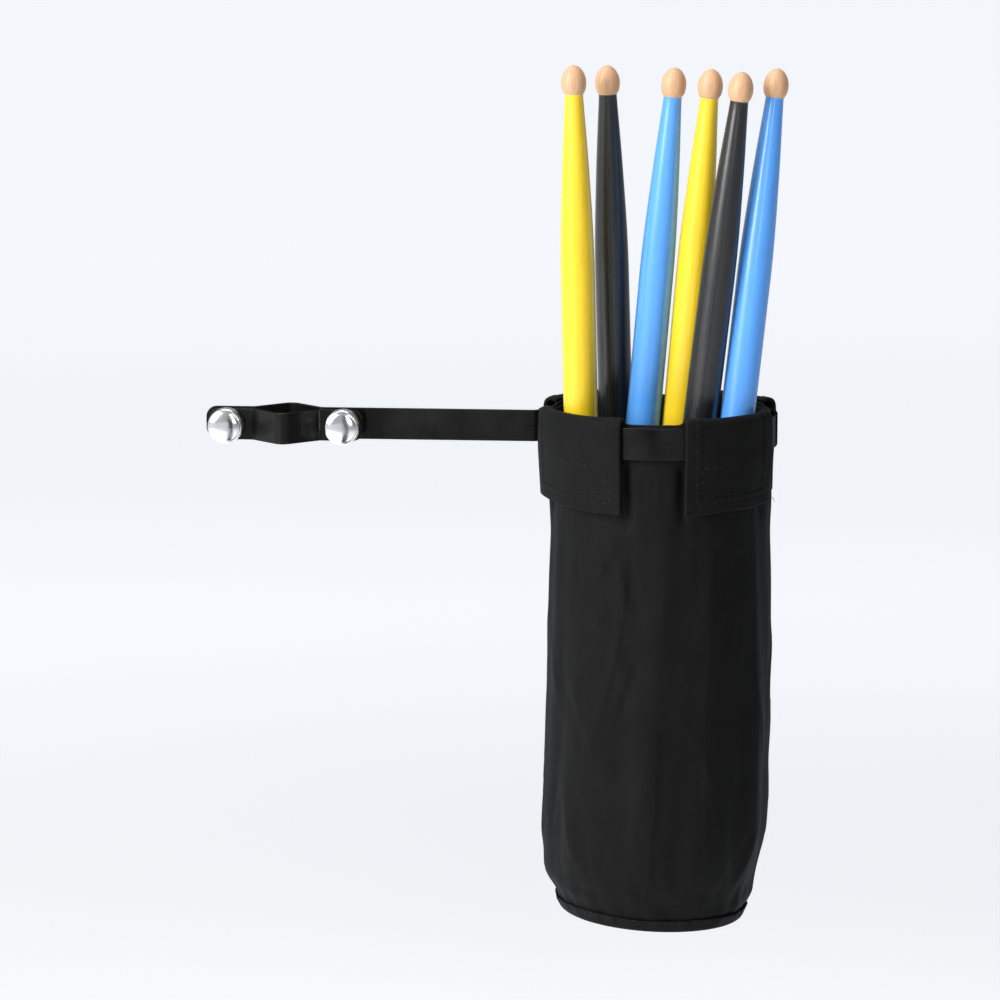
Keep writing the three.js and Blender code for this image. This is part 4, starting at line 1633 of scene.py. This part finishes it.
def area_light(name, place, size, power, colour=(1, 1, 1), height=None):
    """An area light aimed at the bag, square unless it has a height."""
    light = bpy.data.lights.new(name, "AREA")
    light.shape = "RECTANGLE" if height else "SQUARE"
    light.size = size
    if height:
        light.size_y = height
    light.energy = power
    light.color = colour
    obj = link(name, light)
    obj.location = place
    obj.rotation_mode = "QUATERNION"
    obj.rotation_quaternion = (Vector(place) - LIGHT_AIM).to_track_quat("Z", "Y")
    return obj


def make_lights():
    area_light(
        "key_left", place=(-1.5, -1.5, 1.1), size=1.0, power=62, colour=(1.0, 0.985, 0.96),
        height=1.5,
    )
    area_light(
        "strip_front", place=(0.3, -2.3, 0.9), size=0.35, power=7, colour=(0.97, 0.98, 1.0),
        height=1.4,
    )
    area_light("top", place=(-0.2, 0.1, 1.9), size=1.0, power=16)
    rim = area_light("rim_right", place=(1.3, 0.5, 0.8), size=0.5, power=3)
    rim.visible_glossy = False


def make_world():
    """Light that falls off from left to right; the camera itself sees an even pale wall."""
    left_strength, right_strength, seen_strength = 0.62, 0.10, 0.86
    world = bpy.data.worlds.new("studio")
    bpy.context.scene.world = world
    world.use_nodes = True
    nodes, links = world.node_tree.nodes, world.node_tree.links
    background = nodes["Background"]
    coords = nodes.new("ShaderNodeTexCoord")
    split = nodes.new("ShaderNodeSeparateXYZ")
    links.new(coords.outputs["Generated"], split.inputs[0])
    side = nodes.new("ShaderNodeMapRange")
    for i, value in enumerate((-1.0, 1.0, left_strength, right_strength), 1):
        side.inputs[i].default_value = value
    links.new(split.outputs[0], side.inputs[0])
    background.inputs[0].default_value = (0.93, 0.955, 1.0, 1)
    path = nodes.new("ShaderNodeLightPath")
    pick = nodes.new("ShaderNodeMix")
    pick.data_type = "FLOAT"
    links.new(path.outputs["Is Camera Ray"], pick.inputs[0])
    links.new(side.outputs[0], pick.inputs[2])
    pick.inputs[3].default_value = seen_strength
    links.new(pick.outputs[0], background.inputs[1])


def make_dark_card():
    """A dark upright card and a floor strip in front of the bag, seen only in reflections."""
    mat = Shader("dark_card").surface(Base_Color=(0.02, 0.02, 0.022), Roughness=0.9)
    verts = [
        (-0.33, -2.2, -0.35), (0.04, -2.2, -0.35), (0.04, -2.2, 1.6), (-0.33, -2.2, 1.6),
        (-0.25, -0.35, -0.35), (-0.07, -0.35, -0.35),
    ]
    card = plain_mesh("dark_card", verts, [(0, 1, 2, 3), (0, 4, 5, 1)], mat)
    for ray in ("camera", "diffuse", "shadow", "transmission", "volume_scatter"):
        setattr(card, "visible_" + ray, False)


def make_camera():
    """Looks from the front, a little from the right and above."""
    azimuth, pitch = rad(8), rad(12)
    # small turns that centre the object
    turn_right, turn_up = 0.0467, 0.0445
    right = Vector((math.cos(azimuth), math.sin(azimuth), 0))
    level = Vector((-math.sin(azimuth), math.cos(azimuth), 0))
    ahead = level * math.cos(pitch) + Vector((0, 0, -math.sin(pitch)))
    up = level * math.sin(pitch) + Vector((0, 0, math.cos(pitch)))
    camera = bpy.data.cameras.new("camera")
    camera.lens = 147.6
    camera.sensor_width = 36.0
    camera.clip_start, camera.clip_end = 0.05, 60
    obj = link("camera", camera)
    obj.location = Vector((0.10233, -1.92631, 0.52069))
    obj.rotation_mode = "QUATERNION"
    aim = ahead + right * turn_right + up * turn_up
    obj.rotation_quaternion = aim.to_track_quat("-Z", "Y")
    bpy.context.scene.camera = obj
    bpy.context.scene.view_settings.view_transform = "Standard"


# ------------------------------------------------------------------ build
make_arm()
make_jaw()
make_ring()
make_rivet("ring_rivet_upper", 3.8)
make_rivet("ring_rivet_lower", -3.8)
for side, screw_x in (("left", -SCREW_X), ("right", SCREW_X)):
    make_thumb_screw(side, screw_x)
    make_nut(side, screw_x)
for stick in STICKS:
    make_stick(*stick)

drape_move = drape()
make_wall()
for i, flap in enumerate(FLAPS):
    make_flap(*flap, seed=100 + i)
    make_hook_tape(*flap[:3])
    make_loop_tape(*flap[:3])
make_mouth_hem()
make_side_seam()
make_binding()
make_base()
make_loose_threads()

make_floor()
make_lights()
make_world()
make_dark_card()
make_camera()
